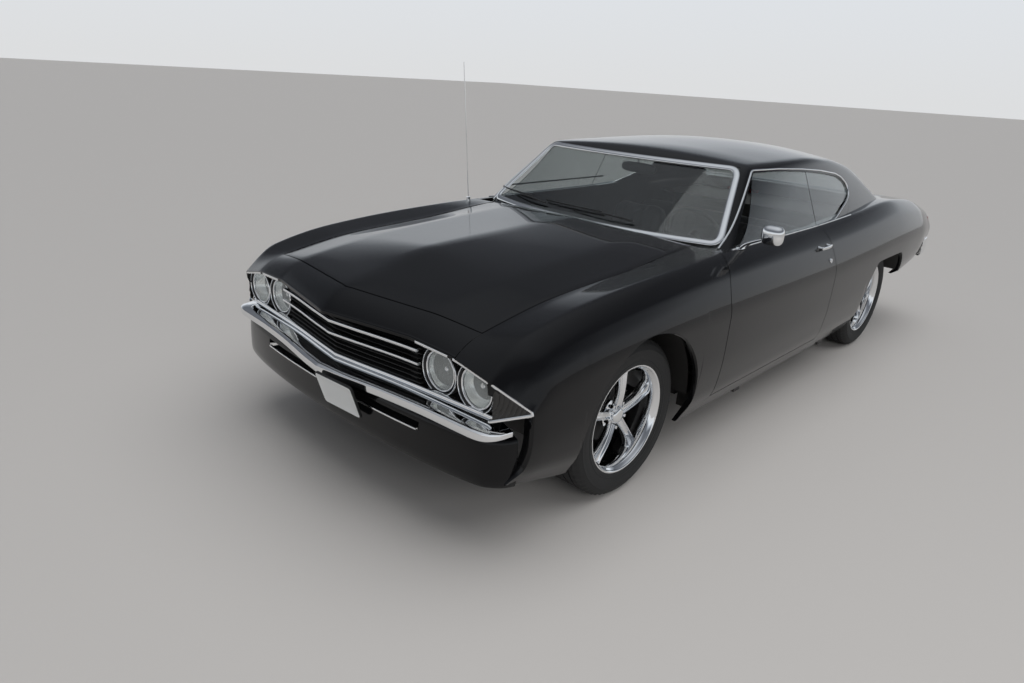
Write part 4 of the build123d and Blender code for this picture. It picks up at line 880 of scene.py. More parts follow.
ribbon_rows = 22
post_wall = 0.004
w = np.linspace(0, 1, ribbon_rows)[None, :, None]
chord = upper[:, None] * (1 - w) + lower[:, None] * w
start = np.stack([0 * chord[..., 0], np.clip(chord[..., 1], -0.25, 0.95),
                  np.minimum(chord[..., 2] - 0.12, 1.10)], -1)
way = chord - start
ribbon = skin(start, way / np.linalg.norm(way, axis=-1, keepdims=True))
piece("roof_skin", [roof_middle, *both(ribbon)], "body_paint", inside=(0, 0.3, 0.9), stands_for=["roof"],
      wall=post_wall)
print("roof ribbon", ribbon.shape)

# What closes the corner below the window's slanted edge, and how far it stands over the roof's own skin
CORNER_FOOT = np.array([(888, 1092), (880, 1050), (844, 1000), (790, 958), (700, 925), (520, 914),
                        (300, 910)]) * mm
corner_over = 0.0004
corner_top = through(WINDOW_SLANT, 40)
corner_foot = through(CORNER_FOOT, 40)
w = np.linspace(0, 1, 12)[None, :, None]
corner = from_side(corner_top[:, None] * (1 - w) + corner_foot[:, None] * w, corner_over)
piece("window_corners", both(corner), "body_paint", inside=(0, 0.5, 0.9), wall=post_wall)

# %% [markdown]
# A pane follows the same skin a few millimetres in. Each is one grid seen from its own side, a little
# larger than its opening, as real glass reaches under its rubber.

# %% Glass
glass_inset = 0.007
screen_glass, side_glass = 0.005, 0.004


def pane(low, high, toward, rows=30, cols=50):
    """Glass over a trapezoid seen from the front or from behind, from its foot to its top."""
    t = np.linspace(0, 1, rows)[:, None]
    half = low[0] + (high[0] - low[0]) * t
    z = low[1] + (high[1] - low[1]) * t
    x = half * np.linspace(-1, 1, cols)[None]
    return from_end(np.stack([x, z + 0 * x], -1), toward, glass_inset)


piece("windshield_pane", [pane((0.764, 0.905), (0.612, 1.272), -1)], "glass", inside=(0, 0.3, 1.0),
      stands_for=["windshield"], wall=screen_glass)
piece("rear_pane", [pane((0.648, 0.965), (0.527, 1.252), 1)], "glass", inside=(0, 0.3, 1.0),
      stands_for=["backlight"], wall=screen_glass)

pane_foot = 0.925
split_y = 0.236
split_gap = 0.006
row = np.linspace(0, 1, 24)


def side_pane(front_y, back_y, top, cols=40):
    """Side glass between a front and a back edge, each a y for every row. Its top is a path y, z."""
    u = np.linspace(0, 1, cols)[None]
    y = np.reshape(front_y, (-1, 1)) * (1 - u) + np.reshape(back_y, (-1, 1)) * u
    z = pane_foot + (np.interp(y, top[:, 0], top[:, 1]) - pane_foot) * row[:, None]
    return from_side(np.stack([y, z], -1), glass_inset)


door_top = np.vstack([[(-0.9, 0.80)], WINDOW_FRONT, WINDOW_TOP[1:]])
door_pane = side_pane(-0.745 + 0.373 * row, np.full(len(row), split_y), door_top)
rear_top = np.vstack([WINDOW_TOP, [(0.90, 1.10)]])
rear_y = np.interp(pane_foot + 0.225 * row, corner_top[::-1, 1], corner_top[::-1, 0]) + split_gap
quarter_pane = side_pane(np.full(len(row), split_y + split_gap), rear_y, rear_top)
for side, turn_over in SIDES.items():
    piece(f"door_pane_{side}", [turn_over(door_pane)], "glass", f"door_{side}", inside=(0, 0, 1.0),
          stands_for=[f"door_glass_{side}"], wall=side_glass)
piece("quarter_panes", both(quarter_pane), "glass", inside=(0, 0.4, 1.0), stands_for=["quarter_glass"],
      wall=side_glass)
for thing in bpy.data.objects:
    if thing.type == "MESH" and glass in list(thing.data.materials):
        thing.visible_shadow = False
print("panes ready")

# %% [markdown]
# Bumper, mouldings, grille bars and valance are all the same kind of piece: one cross section that follows a
# line seen from above, across the nose and round the corners. So one helper carries a section along such a
# line, and each piece is a few numbers: its line, its section and its finish.

# %% A section carried along a line seen from above
def plan_line(points, count):
    """A smooth line seen from above through the given points, with its mirror image before it."""
    half = through(np.asarray(points, float) * mm, count)
    return np.vstack([half[:0:-1] * [-1, 1], half])


def band(line, section):
    """Points of a section (out, height) carried along a plan line: out is square to the line, away from the
    car for a line that runs from the right side to the left one."""
    tangent = np.gradient(line, axis=0)
    tangent /= np.linalg.norm(tangent, axis=1, keepdims=True)
    out = np.stack([tangent[:, 1], -tangent[:, 0]], -1)
    section = np.asarray(section, float)
    plan = line[:, None] + out[:, None] * section[None, :, :1]
    return np.concatenate([plan, np.broadcast_to(section[None, :, 1:], plan.shape[:2] + (1,))], -1)


def bar_section(low, high, depth, points=9):
    """A moulding's closed section between two heights: a crowned face in front and a flat back."""
    angle = np.linspace(-np.pi / 2, np.pi / 2, points)
    middle, half = (low + high) / 2, (high - low) / 2
    face = np.stack([0.35 * half * (np.cos(angle) - 1), middle + half * np.sin(angle)], -1)
    return np.vstack([face, [[-depth, high]], [[-depth, low]]])


print("plan helper ready")

# %% [markdown]
# The front bumper is a slim plated blade with a shelf that runs back from its top edge. Its line is a shallow
# V that turns round the corners, where the blade also rises a little and grows thinner.

# %% Front bumper
BUMPER_LINE = [(0, -2487), (120, -2471), (240, -2450), (365, -2430), (545, -2409), (720, -2397), (800, -2389),
               (845, -2372), (872, -2340), (884, -2290)]
BUMPER_SECTION = [(-0.052, 0.500), (-0.020, 0.4975), (-0.008, 0.4995), (-0.001, 0.506), (0.0, 0.514),
                  (0.0, 0.524), (-0.002, 0.531), (-0.008, 0.5355), (-0.030, 0.5385), (-0.060, 0.5425),
                  (-0.082, 0.5455), (-0.088, 0.543), (-0.060, 0.534)]
# The height the section shrinks towards at the ends, the share it loses there, and how far it rises
bumper_middle, bumper_thinning, bumper_rise = 0.520, 0.35, 0.006
bumper_line = plan_line(BUMPER_LINE, 110)
bumper = band(bumper_line, BUMPER_SECTION)
at_end = np.clip((np.abs(bumper_line[:, 0]) - 0.80) / 0.085, 0, 1)[:, None] ** 2
bumper[..., 2] = (bumper_middle + (bumper[..., 2] - bumper_middle) * (1 - bumper_thinning * at_end)
                  + bumper_rise * at_end)
piece("front_bumper_blade", [bumper], "chrome", stands_for=["front_bumper"], caps=True)

# %% [markdown]
# Under the bumper the valance is a painted apron that rolls under at its foot, with a long slot. The slot is
# left open by making the apron from four pieces of the same band that share their edges.

# %% Valance with its slot
VALANCE_LINE = [(0, -2430), (220, -2424), (420, -2412), (620, -2390), (780, -2360), (835, -2331),
                (870, -2292), (884, -2258)]
valance_line = plan_line(VALANCE_LINE, 100)
slot_low, slot_high, slot_half_x, slot_room = 0.434, 0.466, 0.520, 0.004
foot_section = [(-0.050, 0.304), (-0.022, 0.301), (-0.008, 0.308), (-0.001, 0.325), (0.0, 0.350),
                (0.0, 0.390), (-0.001, slot_low)]
slot_section = [(-0.001, slot_low), (-0.002, (slot_low + slot_high) / 2), (-0.003, slot_high)]
head_section = [(-0.003, slot_high), (-0.004, 0.480), (-0.010, 0.490), (-0.040, 0.492)]
beside_slot = band(valance_line, slot_section)
apron = [band(valance_line, foot_section), band(valance_line, head_section),
         beside_slot[valance_line[:, 0] >= slot_half_x], beside_slot[valance_line[:, 0] <= -slot_half_x]]
piece("front_apron", apron, "body_paint", inside=(0, -2.1, 0.4), stands_for=["front_valance"], wall=0.002)
slot_columns = np.abs(valance_line[:, 0]) < slot_half_x
recess_low, recess_high = slot_low - slot_room, slot_high + slot_room
recess = band(valance_line, [(-0.003, recess_low), (-0.045, recess_low), (-0.045, recess_high),
                             (-0.003, recess_high)])
piece("apron_recess", [recess[slot_columns]], "grille_black", inside=(0, -2.6, 0.446), wall=0.001)
strip = band(valance_line, bar_section(slot_low - 0.002, slot_low + 0.005, 0.010) + np.array([0.004, 0]))
piece("apron_strip", [strip[slot_columns]], "chrome", caps=True)
print("bumper", bumper.shape)

# %% [markdown]
# Eight thin blades make the grille, in front of a black screen. The plated mouldings lie in front of them:
# one under the nose that runs the full width, a pair of short ones in the middle, and one at the foot.

# %% Grille and mouldings
GRILLE_LINE = [(0, -2388), (160, -2369), (320, -2345), (470, -2326), (640, -2313), (815, -2302)]
grille_low, grille_high, blades = 0.558, 0.712, 8
grille_line = plan_line(GRILLE_LINE, 80)
pitch = (grille_high - grille_low) / blades
grille_inner = np.abs(grille_line[:, 0]) <= 0.455
blade_grids = []
for k in range(blades):
    z = grille_low + pitch * (k + 0.5)
    blade = [(-0.026, z - 0.0022), (-0.004, z - 0.0030), (0.0, z - 0.0012), (0.0, z + 0.0012),
             (-0.004, z + 0.0030), (-0.026, z + 0.0022)]
    blade_grids.append(band(grille_line[grille_inner], blade))
piece("grille_blades", blade_grids, "grille_black", stands_for=["grille"], caps=True)
screen = band(grille_line, [(-0.030, grille_high + 0.006), (-0.030, grille_low - 0.010)])
piece("grille_screen", [screen], "grille_black", inside=(0, -1.8, 0.6), wall=0.002)

MOULDING_LINE = [(0, -2424), (150, -2402), (300, -2377), (430, -2360), (620, -2344), (815, -2331)]
LOW_MOULDING_LINE = [(0, -2400), (150, -2382), (300, -2362), (430, -2348), (620, -2334), (815, -2322)]
# How much higher the low moulding lies at its ends than in the middle
low_moulding_rise = 0.010
# low, high, half length of each moulding
MOULDINGS = np.array([(699, 711, 462), (650, 660, 472)]) * mm
moulding_line = plan_line(MOULDING_LINE, 90)
moulding_grids = []
for low, high, half in MOULDINGS:
    inner = np.abs(moulding_line[:, 0]) <= half + 0.002
    moulding_grids.append(band(moulding_line[inner], bar_section(low, high, 0.016)))
low_line = plan_line(LOW_MOULDING_LINE, 90)
low_moulding = band(low_line, bar_section(0.542, 0.564, 0.020))
low_moulding[..., 2] += low_moulding_rise * (low_line[:, :1] / 0.815) ** 2
moulding_grids.append(low_moulding)
# First and last distance from the middle of the brow over each lamp
BROWS = ((0.470, 0.628), (0.652, 0.812))
for first, last in BROWS:
    brow_x = np.linspace(first, last, 20)
    brow_line = np.stack([brow_x, nose_y(brow_x) - 0.001], -1)
    brow = band(brow_line, bar_section(-0.0125, -0.0015, 0.012))
    brow_top = top_height(brow_x, nose_y(brow_x)) - nose_fall
    brow[..., 2] += brow_top[:, None]
    moulding_grids += both(brow)
piece("nose_mouldings", moulding_grids, "chrome", stands_for=["grille_mouldings"], caps=True)
print("mouldings", len(moulding_grids))

# %% [markdown]
# A sealed headlamp is a reflector bowl behind a bulged lens with flutes. The reflector, the lens, its plated
# ring and the black bezel are four profiles turned about the same axis, and the flutes are real ripples in
# the lens, upright ones that grow into a curved fan, as on a pressed lens.

# %% Turning a profile about an axis
def turned(profile, centre, axis=(0, -1, 0), steps=64):
    """A profile (radius, along) turned about an axis through centre. The grid's columns close on
    themselves: its last column is its first."""
    axis = np.asarray(axis, float)
    axis /= np.linalg.norm(axis)
    side = np.cross(axis, (0, 0, 1))
    side /= np.linalg.norm(side)
    up = np.cross(side, axis)
    angle = np.linspace(0, 2 * np.pi, steps + 1)[None, :, None]
    profile = np.asarray(profile, float)
    radius, along_axis = profile[:, None, :1], profile[:, None, 1:]
    return np.asarray(centre) + radius * (np.cos(angle) * side + np.sin(angle) * up) + along_axis * axis


def dome(radius, bulge, count):
    """Profile of a shallow dome from its rim to its pole."""
    r = radius * np.cos(np.linspace(0, np.pi / 2, count))
    return np.stack([r, bulge * (1 - (r / radius) ** 2)], -1)


LAMP_X = (0.546, 0.732)
lamp_z, lamp_radius, lamp_face = 0.647, 0.071, -2.312
lens_bulge, flute_depth = 0.016, 0.0011
# Profiles as radius and distance in front of the lamp's face
BOWL = [(0.0705, -0.001), (0.064, -0.020), (0.052, -0.036), (0.034, -0.047), (0.012, -0.052), (0.0, -0.052)]
SHIELD = [(0.011, -0.040), (0.0105, -0.024), (0.007, -0.020), (0.0, -0.019)]
RING = [(0.0700, -0.004), (0.0700, 0.004), (0.0715, 0.0075), (0.0740, 0.0085), (0.0765, 0.0070),
        (0.0775, 0.003), (0.0775, -0.006)]
BEZEL = [(0.0775, -0.010), (0.0800, 0.001), (0.0840, 0.009), (0.0875, 0.0115), (0.0895, 0.0105),
         (0.0905, 0.004), (0.0905, -0.030)]
BEZEL_EDGE = [(0.0870, 0.0112), (0.0874, 0.0134), (0.0887, 0.0140), (0.0899, 0.0128), (0.0903, 0.0090)]
lamp_centres = [(x, lamp_face, lamp_z) for x in (*LAMP_X, *(-x for x in LAMP_X))]


def at_lamps(profile, steps):
    """A profile turned about the axis of each of the four lamps."""
    return [turned(profile, centre, steps=steps) for centre in lamp_centres]


lens_grids = at_lamps(dome(lamp_radius, lens_bulge, 34), 120)
for lens, (lamp_x, _, _) in zip(lens_grids, lamp_centres):
    across = lens[..., 0] - lamp_x
    height = lens[..., 2] - lamp_z
    fade = np.clip(1 - np.hypot(across, height) / lamp_radius, 0, 0.3) / 0.3
    lens[..., 1] -= flute_depth * fade * np.abs(np.sin(across * 190 * (1 + 2.5 * height)))
in_lamps = (0, -2.0, lamp_z)
piece("headlamp_lenses", lens_grids, "lamp_glass", inside=(0, -1.8, lamp_z), stands_for=["front_lamps"])
piece("headlamp_bowls", at_lamps(BOWL, 64), "chrome", inside=in_lamps, sharp=60, material=reflector)
piece("headlamp_shields", at_lamps(SHIELD, 40), "chrome", inside=in_lamps)
piece("headlamp_rings", at_lamps(RING, 96) + at_lamps(BEZEL_EDGE, 96), "chrome", inside=in_lamps, sharp=60)
piece("headlamp_bezels", at_lamps(BEZEL, 96), "grille_black", inside=in_lamps, sharp=60)
print("lamps", len(lens_grids))

# %% [markdown]
# The corner lamp is a wedge that wraps from the nose to the side. Its ribbed lens is a grid whose height
# closes towards the tip, with the ribs as ripples, and a plated frame runs round its outline.

# %% Corner lamps
CORNER_PLAN = np.array([(822, -2336), (860, -2303), (900, -2268), (926, -2245)]) * mm


def wedge(x, share, lift=0.0):
    """A point of the corner lamp at a distance x from the middle, share of its height from foot to top."""
    top = np.interp(x, [0.822, 0.928], [0.696, 0.604])
    foot = np.interp(x, [0.822, 0.928], [0.562, 0.597])
    z = foot + (top - foot) * share
    y = smooth(x, CORNER_PLAN[:, 0], CORNER_PLAN[:, 1])[..., 0]
    return np.stack([x + 0.6 * lift, y - 0.8 * lift, z], -1)


x, share = np.meshgrid(np.linspace(0.826, 0.926, 70), np.linspace(0, 1, 57), indexing="ij")
flat_lens = wedge(x, share)
from_lamp = np.hypot(flat_lens[..., 0] - LAMP_X[1], flat_lens[..., 2] - lamp_z)
rib_height, rib_pitch = 0.0045, 0.0125
ripple = np.abs(np.sin((from_lamp - lamp_radius) / rib_pitch * np.pi))
ribs = rib_height * ripple * np.sin(np.pi * share) ** 0.3
corner_lens_grid = wedge(x, share, ribs - 0.004)
outline = np.vstack([wedge(np.linspace(0.816, 0.927, 24), np.zeros(24)),
                     wedge(np.linspace(0.927, 0.816, 24), np.ones(24))[1:]])
wedge_out = np.array([0.62, -0.78, 0.0])
frame_section = [(-0.006, -0.008), (-0.006, 0.002), (-0.003, 0.0045), (0.003, 0.0045), (0.006, 0.002),
                 (0.006, -0.008)]
corner_frame = sweep(outline, wedge_out, frame_section)
piece("corner_lenses", both(corner_lens_grid), "corner_lens", inside=(0, -1.9, 0.6),
      stands_for=["corner_lamps"], wall=0.003)
piece("corner_frames", both(corner_frame), "chrome", caps=True)

edge = fender[0]
to_middle = np.stack([np.minimum(edge[:, 0], 0.80) - edge[:, 0], 0 * edge[:, 0],
                      np.minimum(edge[:, 2], 0.60) - edge[:, 2]], -1)
to_middle /= np.linalg.norm(to_middle, axis=-1, keepdims=True)
reach = np.where(edge[:, 0] < 0.815, 0.010, 0.050)[:, None, None]
depths = np.array([0.0, 0.06, 0.25, 0.6, 1.0])[None, :, None] * reach
backs = np.array([0.0, -0.0008, -0.001, 0.0, 0.006])[None, :, None]
fender_front = edge[:, None] + depths * to_middle[:, None] + backs * np.array([0, 1.0, 0])
piece("fender_fronts", both(fender_front), "body_paint", inside=(0, -1.9, 0.6), wall=0.002)
print("corner lamps", corner_lens_grid.shape)

# %% [markdown]
# The number plate hangs under the bumper on the left half, turned with the bumper's V, and it is blank. It is
# a rounded rectangle with a pressed rim, built as rings that step in from the edge.

# %% Blank number plate
def rounded_ring(width, height, radius, steps=8):
    """Points round a rounded rectangle about the origin, in its own plane."""
    angle = np.linspace(0, np.pi / 2, steps)
    corner = radius * np.stack([np.cos(angle), np.sin(angle)], -1)
    ring = []
    for quarter in range(4):
        turn = quarter * np.pi / 2
        matrix = np.array([[np.cos(turn), np.sin(turn)], [-np.sin(turn), np.cos(turn)]])
        sign = np.array([(1, 1), (-1, 1), (-1, -1), (1, -1)][quarter])
        ring.append(corner @ matrix + sign * (np.array([width, height]) / 2 - radius))
    return np.vstack(ring)


plate_width, plate_height = 0.212, 0.140
plate_centre = np.array([0.137, -2.478, 0.452])
plate_turn = math.radians(4.0)
plate_side = np.array([math.cos(plate_turn), math.sin(plate_turn), 0])
plate_lean = math.radians(18.0)
plate_up = np.array([0.0, -math.sin(plate_lean), math.cos(plate_lean)])
plate_out = np.cross(plate_side, plate_up)
# Inset from the edge and height over the back of each ring
PLATE_RINGS = [(0.0, 0.0), (0.0, 0.0016), (0.0008, 0.0024), (0.004, 0.0026), (0.006, 0.0016), (0.030, 0.0015)]
PLATE_FRAME_RINGS = [(0.0, -0.010), (-0.004, -0.009), (-0.005, -0.001), (-0.004, 0.0012), (0.004, 0.0008)]


def plate_ring(inset, rise, radius):
    """A rounded rectangle round the plate, inset from its edge and risen over its back."""
    flat = rounded_ring(plate_width - 2 * inset, plate_height - 2 * inset, radius)
    return plate_centre + flat[:, :1] * plate_side + flat[:, 1:] * plate_up + rise * plate_out


plate = np.stack([plate_ring(inset, rise, max(0.011 - inset * 0.5, 0.004)) for inset, rise in PLATE_RINGS])
piece("blank_plate", [plate], "plate", stands_for=["number_plate"], caps=True)
plate_back = np.stack([plate_ring(inset, rise, 0.013) for inset, rise in PLATE_FRAME_RINGS])
piece("plate_frame", [plate_back], "grille_black", caps=True)
print("plate ready")

# %% [markdown]
# The wheels are plated alloys with a deep dish. The barrel and its thin lip are a profile turned about the
# axle. A spoke is a function of two parameters: along it from hub to rim, and across it, where two ridges
# stand up beside a valley. Five turned copies make the star.

# %% Rim profiles and spokes
RIM = [(0.2362, -0.008), (0.2366, -0.003), (0.2355, 0.0), (0.2325, 0.0004), (0.2295, -0.001),
       (0.2270, -0.005), (0.2235, -0.011), (0.2185, -0.015), (0.2145, -0.022), (0.2115, -0.036),
       (0.2090, -0.062), (0.2075, -0.110), (0.2070, -0.200), (0.2110, -0.213), (0.2300, -0.220),
       (0.2360, -0.226), (0.2362, -0.219), (0.2200, -0.212), (0.2150, -0.198), (0.2150, -0.028),
       (0.2230, -0.016), (0.2362, -0.008)]
HUB = [(0.0, -0.0385), (0.014, -0.0388), (0.024, -0.0405), (0.0315, -0.0445), (0.0350, -0.0500),
       (0.0368, -0.0580), (0.0400, -0.0640), (0.0480, -0.0690), (0.0600, -0.0720), (0.0700, -0.0760),
       (0.0720, -0.0860), (0.0720, -0.1000)]
spokes, spoke_root, spoke_tip = 5, 0.040, 0.2115


def spoke_grid(turn, centre, side):
    """One spoke. u runs from hub to rim and v across it. The front stands at a depth that bows with u, two
    ridges rise at v = +-0.66 as bell curves, and the outer edges fall away as a power of v."""
    u, v = np.meshgrid(np.linspace(0, 1, 26), np.linspace(-1, 1, 25), indexing="ij")
    radius = spoke_root + (spoke_tip - spoke_root) * u
    half = 0.0190 + 0.0060 * u + 0.0110 * u ** 6 + 0.0060 * (1 - u) ** 5
    bow = -0.060 + 0.010 * np.sin(np.pi * u) + 0.006 * u ** 4
    ridge = 0.0125 * np.exp(-((np.abs(v) - 0.66) / 0.20) ** 2) - 0.020 * np.abs(v) ** 8
    front = np.stack([half * v, radius, bow + ridge], -1)
    back = np.stack([half * v * 0.9, radius, bow - 0.028 + 0 * v], -1)[:, ::-1]
    loop = np.concatenate([front, back], 1)
    across, out, depth = loop[..., 0], loop[..., 1], loop[..., 2]
    y = out * math.sin(turn) + across * math.cos(turn)
    z = out * math.cos(turn) - across * math.sin(turn)
    return np.stack([centre[0] + side * depth, centre[1] + y, centre[2] + z], -1)


def nut(centre, side, radius=0.0085):
    """A wheel nut: a hexagonal profile turned in six steps, with a rounded end."""
    profile = [(radius, -0.020), (radius, -0.004), (radius * 0.85, 0.0), (radius * 0.4, 0.0012),
               (0.0, 0.0014)]
    return turned(profile, centre, (side, 0, 0), steps=6)


print("spokes", spokes)

# %% [markdown]
# A tyre's profile is one loop: bead, side wall with two moulded rings, shoulder and tread with four grooves.
# Slots across the shoulders come from lowering the radius at regular angles.

# %% Tyre profile
tyre_radius, tread_half = 0.341, 0.094
side_wall = np.array([(0.2330, 0.104), (0.2370, 0.1130), (0.2460, 0.1165), (0.2520, 0.1172),
                      (0.2545, 0.1192), (0.2570, 0.1190), (0.2600, 0.1180), (0.2750, 0.1212),
                      (0.2900, 0.1220), (0.3000, 0.1214), (0.3030, 0.1222), (0.3055, 0.1205),
                      (0.3150, 0.1165), (0.3240, 0.1110), (0.3310, 0.1040), (0.3350, 0.0990)])
groove, groove_depth, slot_depth = 0.0035, 0.0065, 0.003
tread_x = np.concatenate([[x - groove - 0.0008, x - groove, x + groove, x + groove + 0.0008]
                          for x in (-0.066, -0.024, 0.024, 0.066)])
tread_r = np.tile([tyre_radius, tyre_radius - groove_depth, tyre_radius - groove_depth, tyre_radius], 4)
tread = np.vstack([[(tyre_radius - 0.0008, -tread_half)], np.stack([tread_r, tread_x], -1),
                   [(tyre_radius - 0.0008, tread_half)]])
tyre_profile = np.vstack([side_wall * [1, -1], tread, side_wall[::-1], [(0.2260, 0.0980), (0.2260, -0.0980)],
                          side_wall[:1] * [1, -1]])


def tyre_grid(centre, side, steps=252, slots=63):
    """The tyre turned about its axle. Where the shoulder is wider than 70 mm from the middle, every second
    pair of angles lies 3 mm lower, which cuts the slots."""
    grid = turned(tyre_profile, centre, (side, 0, 0), steps)
    angle = np.arange(steps + 1) * slots / steps
    shoulder = (tyre_profile[:, 0] > 0.329) & (np.abs(tyre_profile[:, 1]) > 0.071)
    slot = (np.mod(angle, 1) < 0.26)[None, :] & shoulder[:, None]
    centre = np.asarray(centre)
    scale = np.where(slot, 1 - slot_depth / tyre_radius, 1.0)[..., None]
    spread = grid - centre
    return centre + spread * np.concatenate([np.ones_like(scale), scale, scale], -1)


WHEELS = {"front_left": (0.872, front_axle), "front_right": (-0.872, front_axle),
          "rear_left": (0.859, rear_axle), "rear_right": (-0.859, rear_axle)}
rim_width = 0.226
nut_circle = 0.0565
for place_name, (lip_x, axle_y) in WHEELS.items():
    side = math.copysign(1, lip_x)
    centre = (lip_x, axle_y, axle_z)
    body = f"wheel_{place_name}"
    inside_rim = (lip_x - side * 0.5, axle_y, axle_z)
    barrel = turned(RIM, centre, (side, 0, 0), 128)
    hub = turned(HUB, centre, (side, 0, 0), 64)
    star = [spoke_grid(2 * np.pi * k / spokes, centre, side) for k in range(spokes)]
    piece(f"rim_barrel_{place_name}", [barrel], "wheel_chrome", body, sharp=50,
          stands_for=[f"rim_{place_name}"])
    piece(f"rim_hub_{place_name}", [hub], "wheel_chrome", body, inside=inside_rim, sharp=40)
    piece(f"rim_star_{place_name}", star, "wheel_chrome", body, caps=True, sharp=50)
    middles = [(lip_x - side * 0.050, axle_y + nut_circle * math.sin(a), axle_z + nut_circle * math.cos(a))
               for a in 2 * np.pi * (np.arange(spokes) + 0.5) / spokes]
    piece(f"wheel_nuts_{place_name}", [nut(m, side) for m in middles], "wheel_chrome", body,
          inside=inside_rim, sharp=25)
    tyre_centre = (lip_x - side * rim_width / 2, axle_y, axle_z)
    piece(f"tread_and_wall_{place_name}", [tyre_grid(tyre_centre, side)], "tyre_rubber", body,
          stands_for=[f"tyre_{place_name}"], sharp=28)
print("wheels", len(WHEELS))

# %% [markdown]
# Bright trim lies on the skin, so its path is worked out on the skin and its section stands along the skin's
# normal there. The windshield's surround is the widest, and the rear window's is narrower. Corners are
# rounded with short curves before the path is placed, as a bent strip would be.

# %% Window surrounds
def rounded_path(corners, radius, count, closed=False):
    """A path through corners whose turns are eased: each corner is replaced by a quadratic curve that starts
    and ends at the given distance from it. Its points are evenly spaced."""
    corners = np.asarray(corners, float)
    before, after = np.roll(corners, 1, 0), np.roll(corners, -1, 0)
    start = corners + radius * (before - corners) / np.linalg.norm(before - corners, axis=1, keepdims=True)
    end = corners + radius * (after - corners) / np.linalg.norm(after - corners, axis=1, keepdims=True)
    t = np.linspace(0, 1, 9)[None, :, None]
    curve = start[:, None] * (1 - t) ** 2 + 2 * corners[:, None] * t * (1 - t) + end[:, None] * t ** 2
    if closed:
        flat = curve.reshape(-1, corners.shape[1])
        return even(np.vstack([flat, flat[:1]]), count + 1)[:-1]
    return even(np.vstack([corners[:1], curve[1:-1].reshape(-1, corners.shape[1]), corners[-1:]]), count)


def surround(foot, top, toward, radius, count, section):
    """A strip round a screen, lying on the skin. Foot and top are half widths and heights."""
    corners = [(-foot[0], foot[1]), foot, top, (-top[0], top[1])]
    path = from_end(rounded_path(corners, radius, count, closed=True), toward)
    return sweep(path, skin_normal(path), section, closed=True)


screen_trim = surround((0.742, 0.946), (0.611, 1.262), -1, 0.045, 260, crowned(0.034, 0.0085, 9, -0.004))
rear_trim = surround((0.636, 0.992), (0.530, 1.244), 1, 0.060, 220, crowned(0.024, 0.006, 9, -0.004))
piece("window_surrounds", [screen_trim, rear_trim], "chrome", wrap=True)

# %% [markdown]
# Thin mouldings run up the front post, along the drip rail and down the rear edge of the side window, and a
# pair runs along the belt. The part of the belt that lies on a door opens with it.

# %% Side window and belt mouldings
outline_top = np.vstack([[(-0.790, 0.930)], WINDOW_FRONT[1:] + [-0.006, 0.012],
                         WINDOW_TOP[1:] + [0.004, 0.012], WINDOW_BACK[1:3] + [0.010, 0.004],
                         WINDOW_SLANT[1:] + [0.004, -0.004]])
rail_path = from_side(rounded_path(outline_top, 0.024, 260))
rail = sweep(rail_path, skin_normal(rail_path), crowned(0.010, 0.0055, 7, -0.003))


def belt(y_low, y_high, in_from_crease=0.013, count=60):
    """A path along the body's top at a distance in from the crease."""
    y = np.linspace(y_low, y_high, count)
    return top_points(section(y)[..., 3] - in_from_crease, y)


belt_section = crowned(0.008, 0.0045, 7, -0.003)
belt_up = np.array([0.15, 0, 1.0])
door_belt = sweep(belt(-0.775, 0.238), belt_up, belt_section)
quarter_belt = sweep(belt(0.247, 0.745), belt_up, belt_section)
piece("side_mouldings", both(rail, quarter_belt), "chrome", caps=True)
for side, turn_over in SIDES.items():
    piece(f"belt_moulding_{side}", [turn_over(door_belt)], "chrome", f"door_{side}", caps=True)
print("mouldings on the sides")

# %% [markdown]
# A door carries a pull handle on two posts, a round lock, and on the driver's side a mirror on a forked
# stalk. All are plated castings, so their forms are soft: swept ovals and a rounded shell.

# %% Handles, locks and the door mirror
def oval(width, height, points=14):
    """A closed oval section."""
    angle = np.linspace(0, 2 * np.pi, points, endpoint=False)
    return np.stack([width / 2 * np.cos(angle), height / 2 * np.sin(angle)], -1)


def tapered(path, normals, section_points, scale):
    """A sweep whose section is scaled along the path."""
    grid = sweep(path, normals, section_points)
    return path[:, None] + (grid - path[:, None]) * np.asarray(scale)[:, None, None]


def side_x(y, z):
    """How far out the side stands at one place."""
    return float(side_reach(np.array(y), np.array(z)))


handle_z, lock_y, lock_z = 0.855, 0.180, 0.775
y = np.linspace(0.058, 0.192, 30)
bow = 1 - ((y - 0.125) / 0.067) ** 2
handle_path = np.stack([0.927 + 0.0065 * bow, y, np.full(len(y), handle_z)], -1)
handle_grip = tapered(handle_path, (0, 0, 1), oval(0.0105, 0.020),
                      0.35 + 0.65 * np.clip(bow * 5, 0, 1) ** 0.5)
posts = []
for post_y in (0.066, 0.184):
    post_x = np.linspace(side_x(post_y, handle_z) - 0.004, 0.928, 8)
    post_path = np.stack([post_x, np.full(8, post_y), np.full(8, handle_z)], -1)
    posts.append(tapered(post_path, (0, 0, 1), oval(0.012, 0.014), np.linspace(1.25, 0.9, 8)))
LOCK = [(0.0135, -0.004), (0.0135, 0.003), (0.0122, 0.0062), (0.0085, 0.0066), (0.0080, 0.0050),
        (0.0, 0.0050)]
lock = turned(LOCK, (side_x(lock_y, lock_z), lock_y, lock_z), (1, 0, 0.05), 40)

mirror_centre = np.array([0.966, -0.718, 1.025])
phi, theta = np.meshgrid(np.linspace(0, np.pi, 22), np.linspace(0, 2 * np.pi, 49), indexing="ij")


def signed_power(value, power):
    """The power of a number's size with its sign kept."""
    return np.sign(value) * np.abs(value) ** power


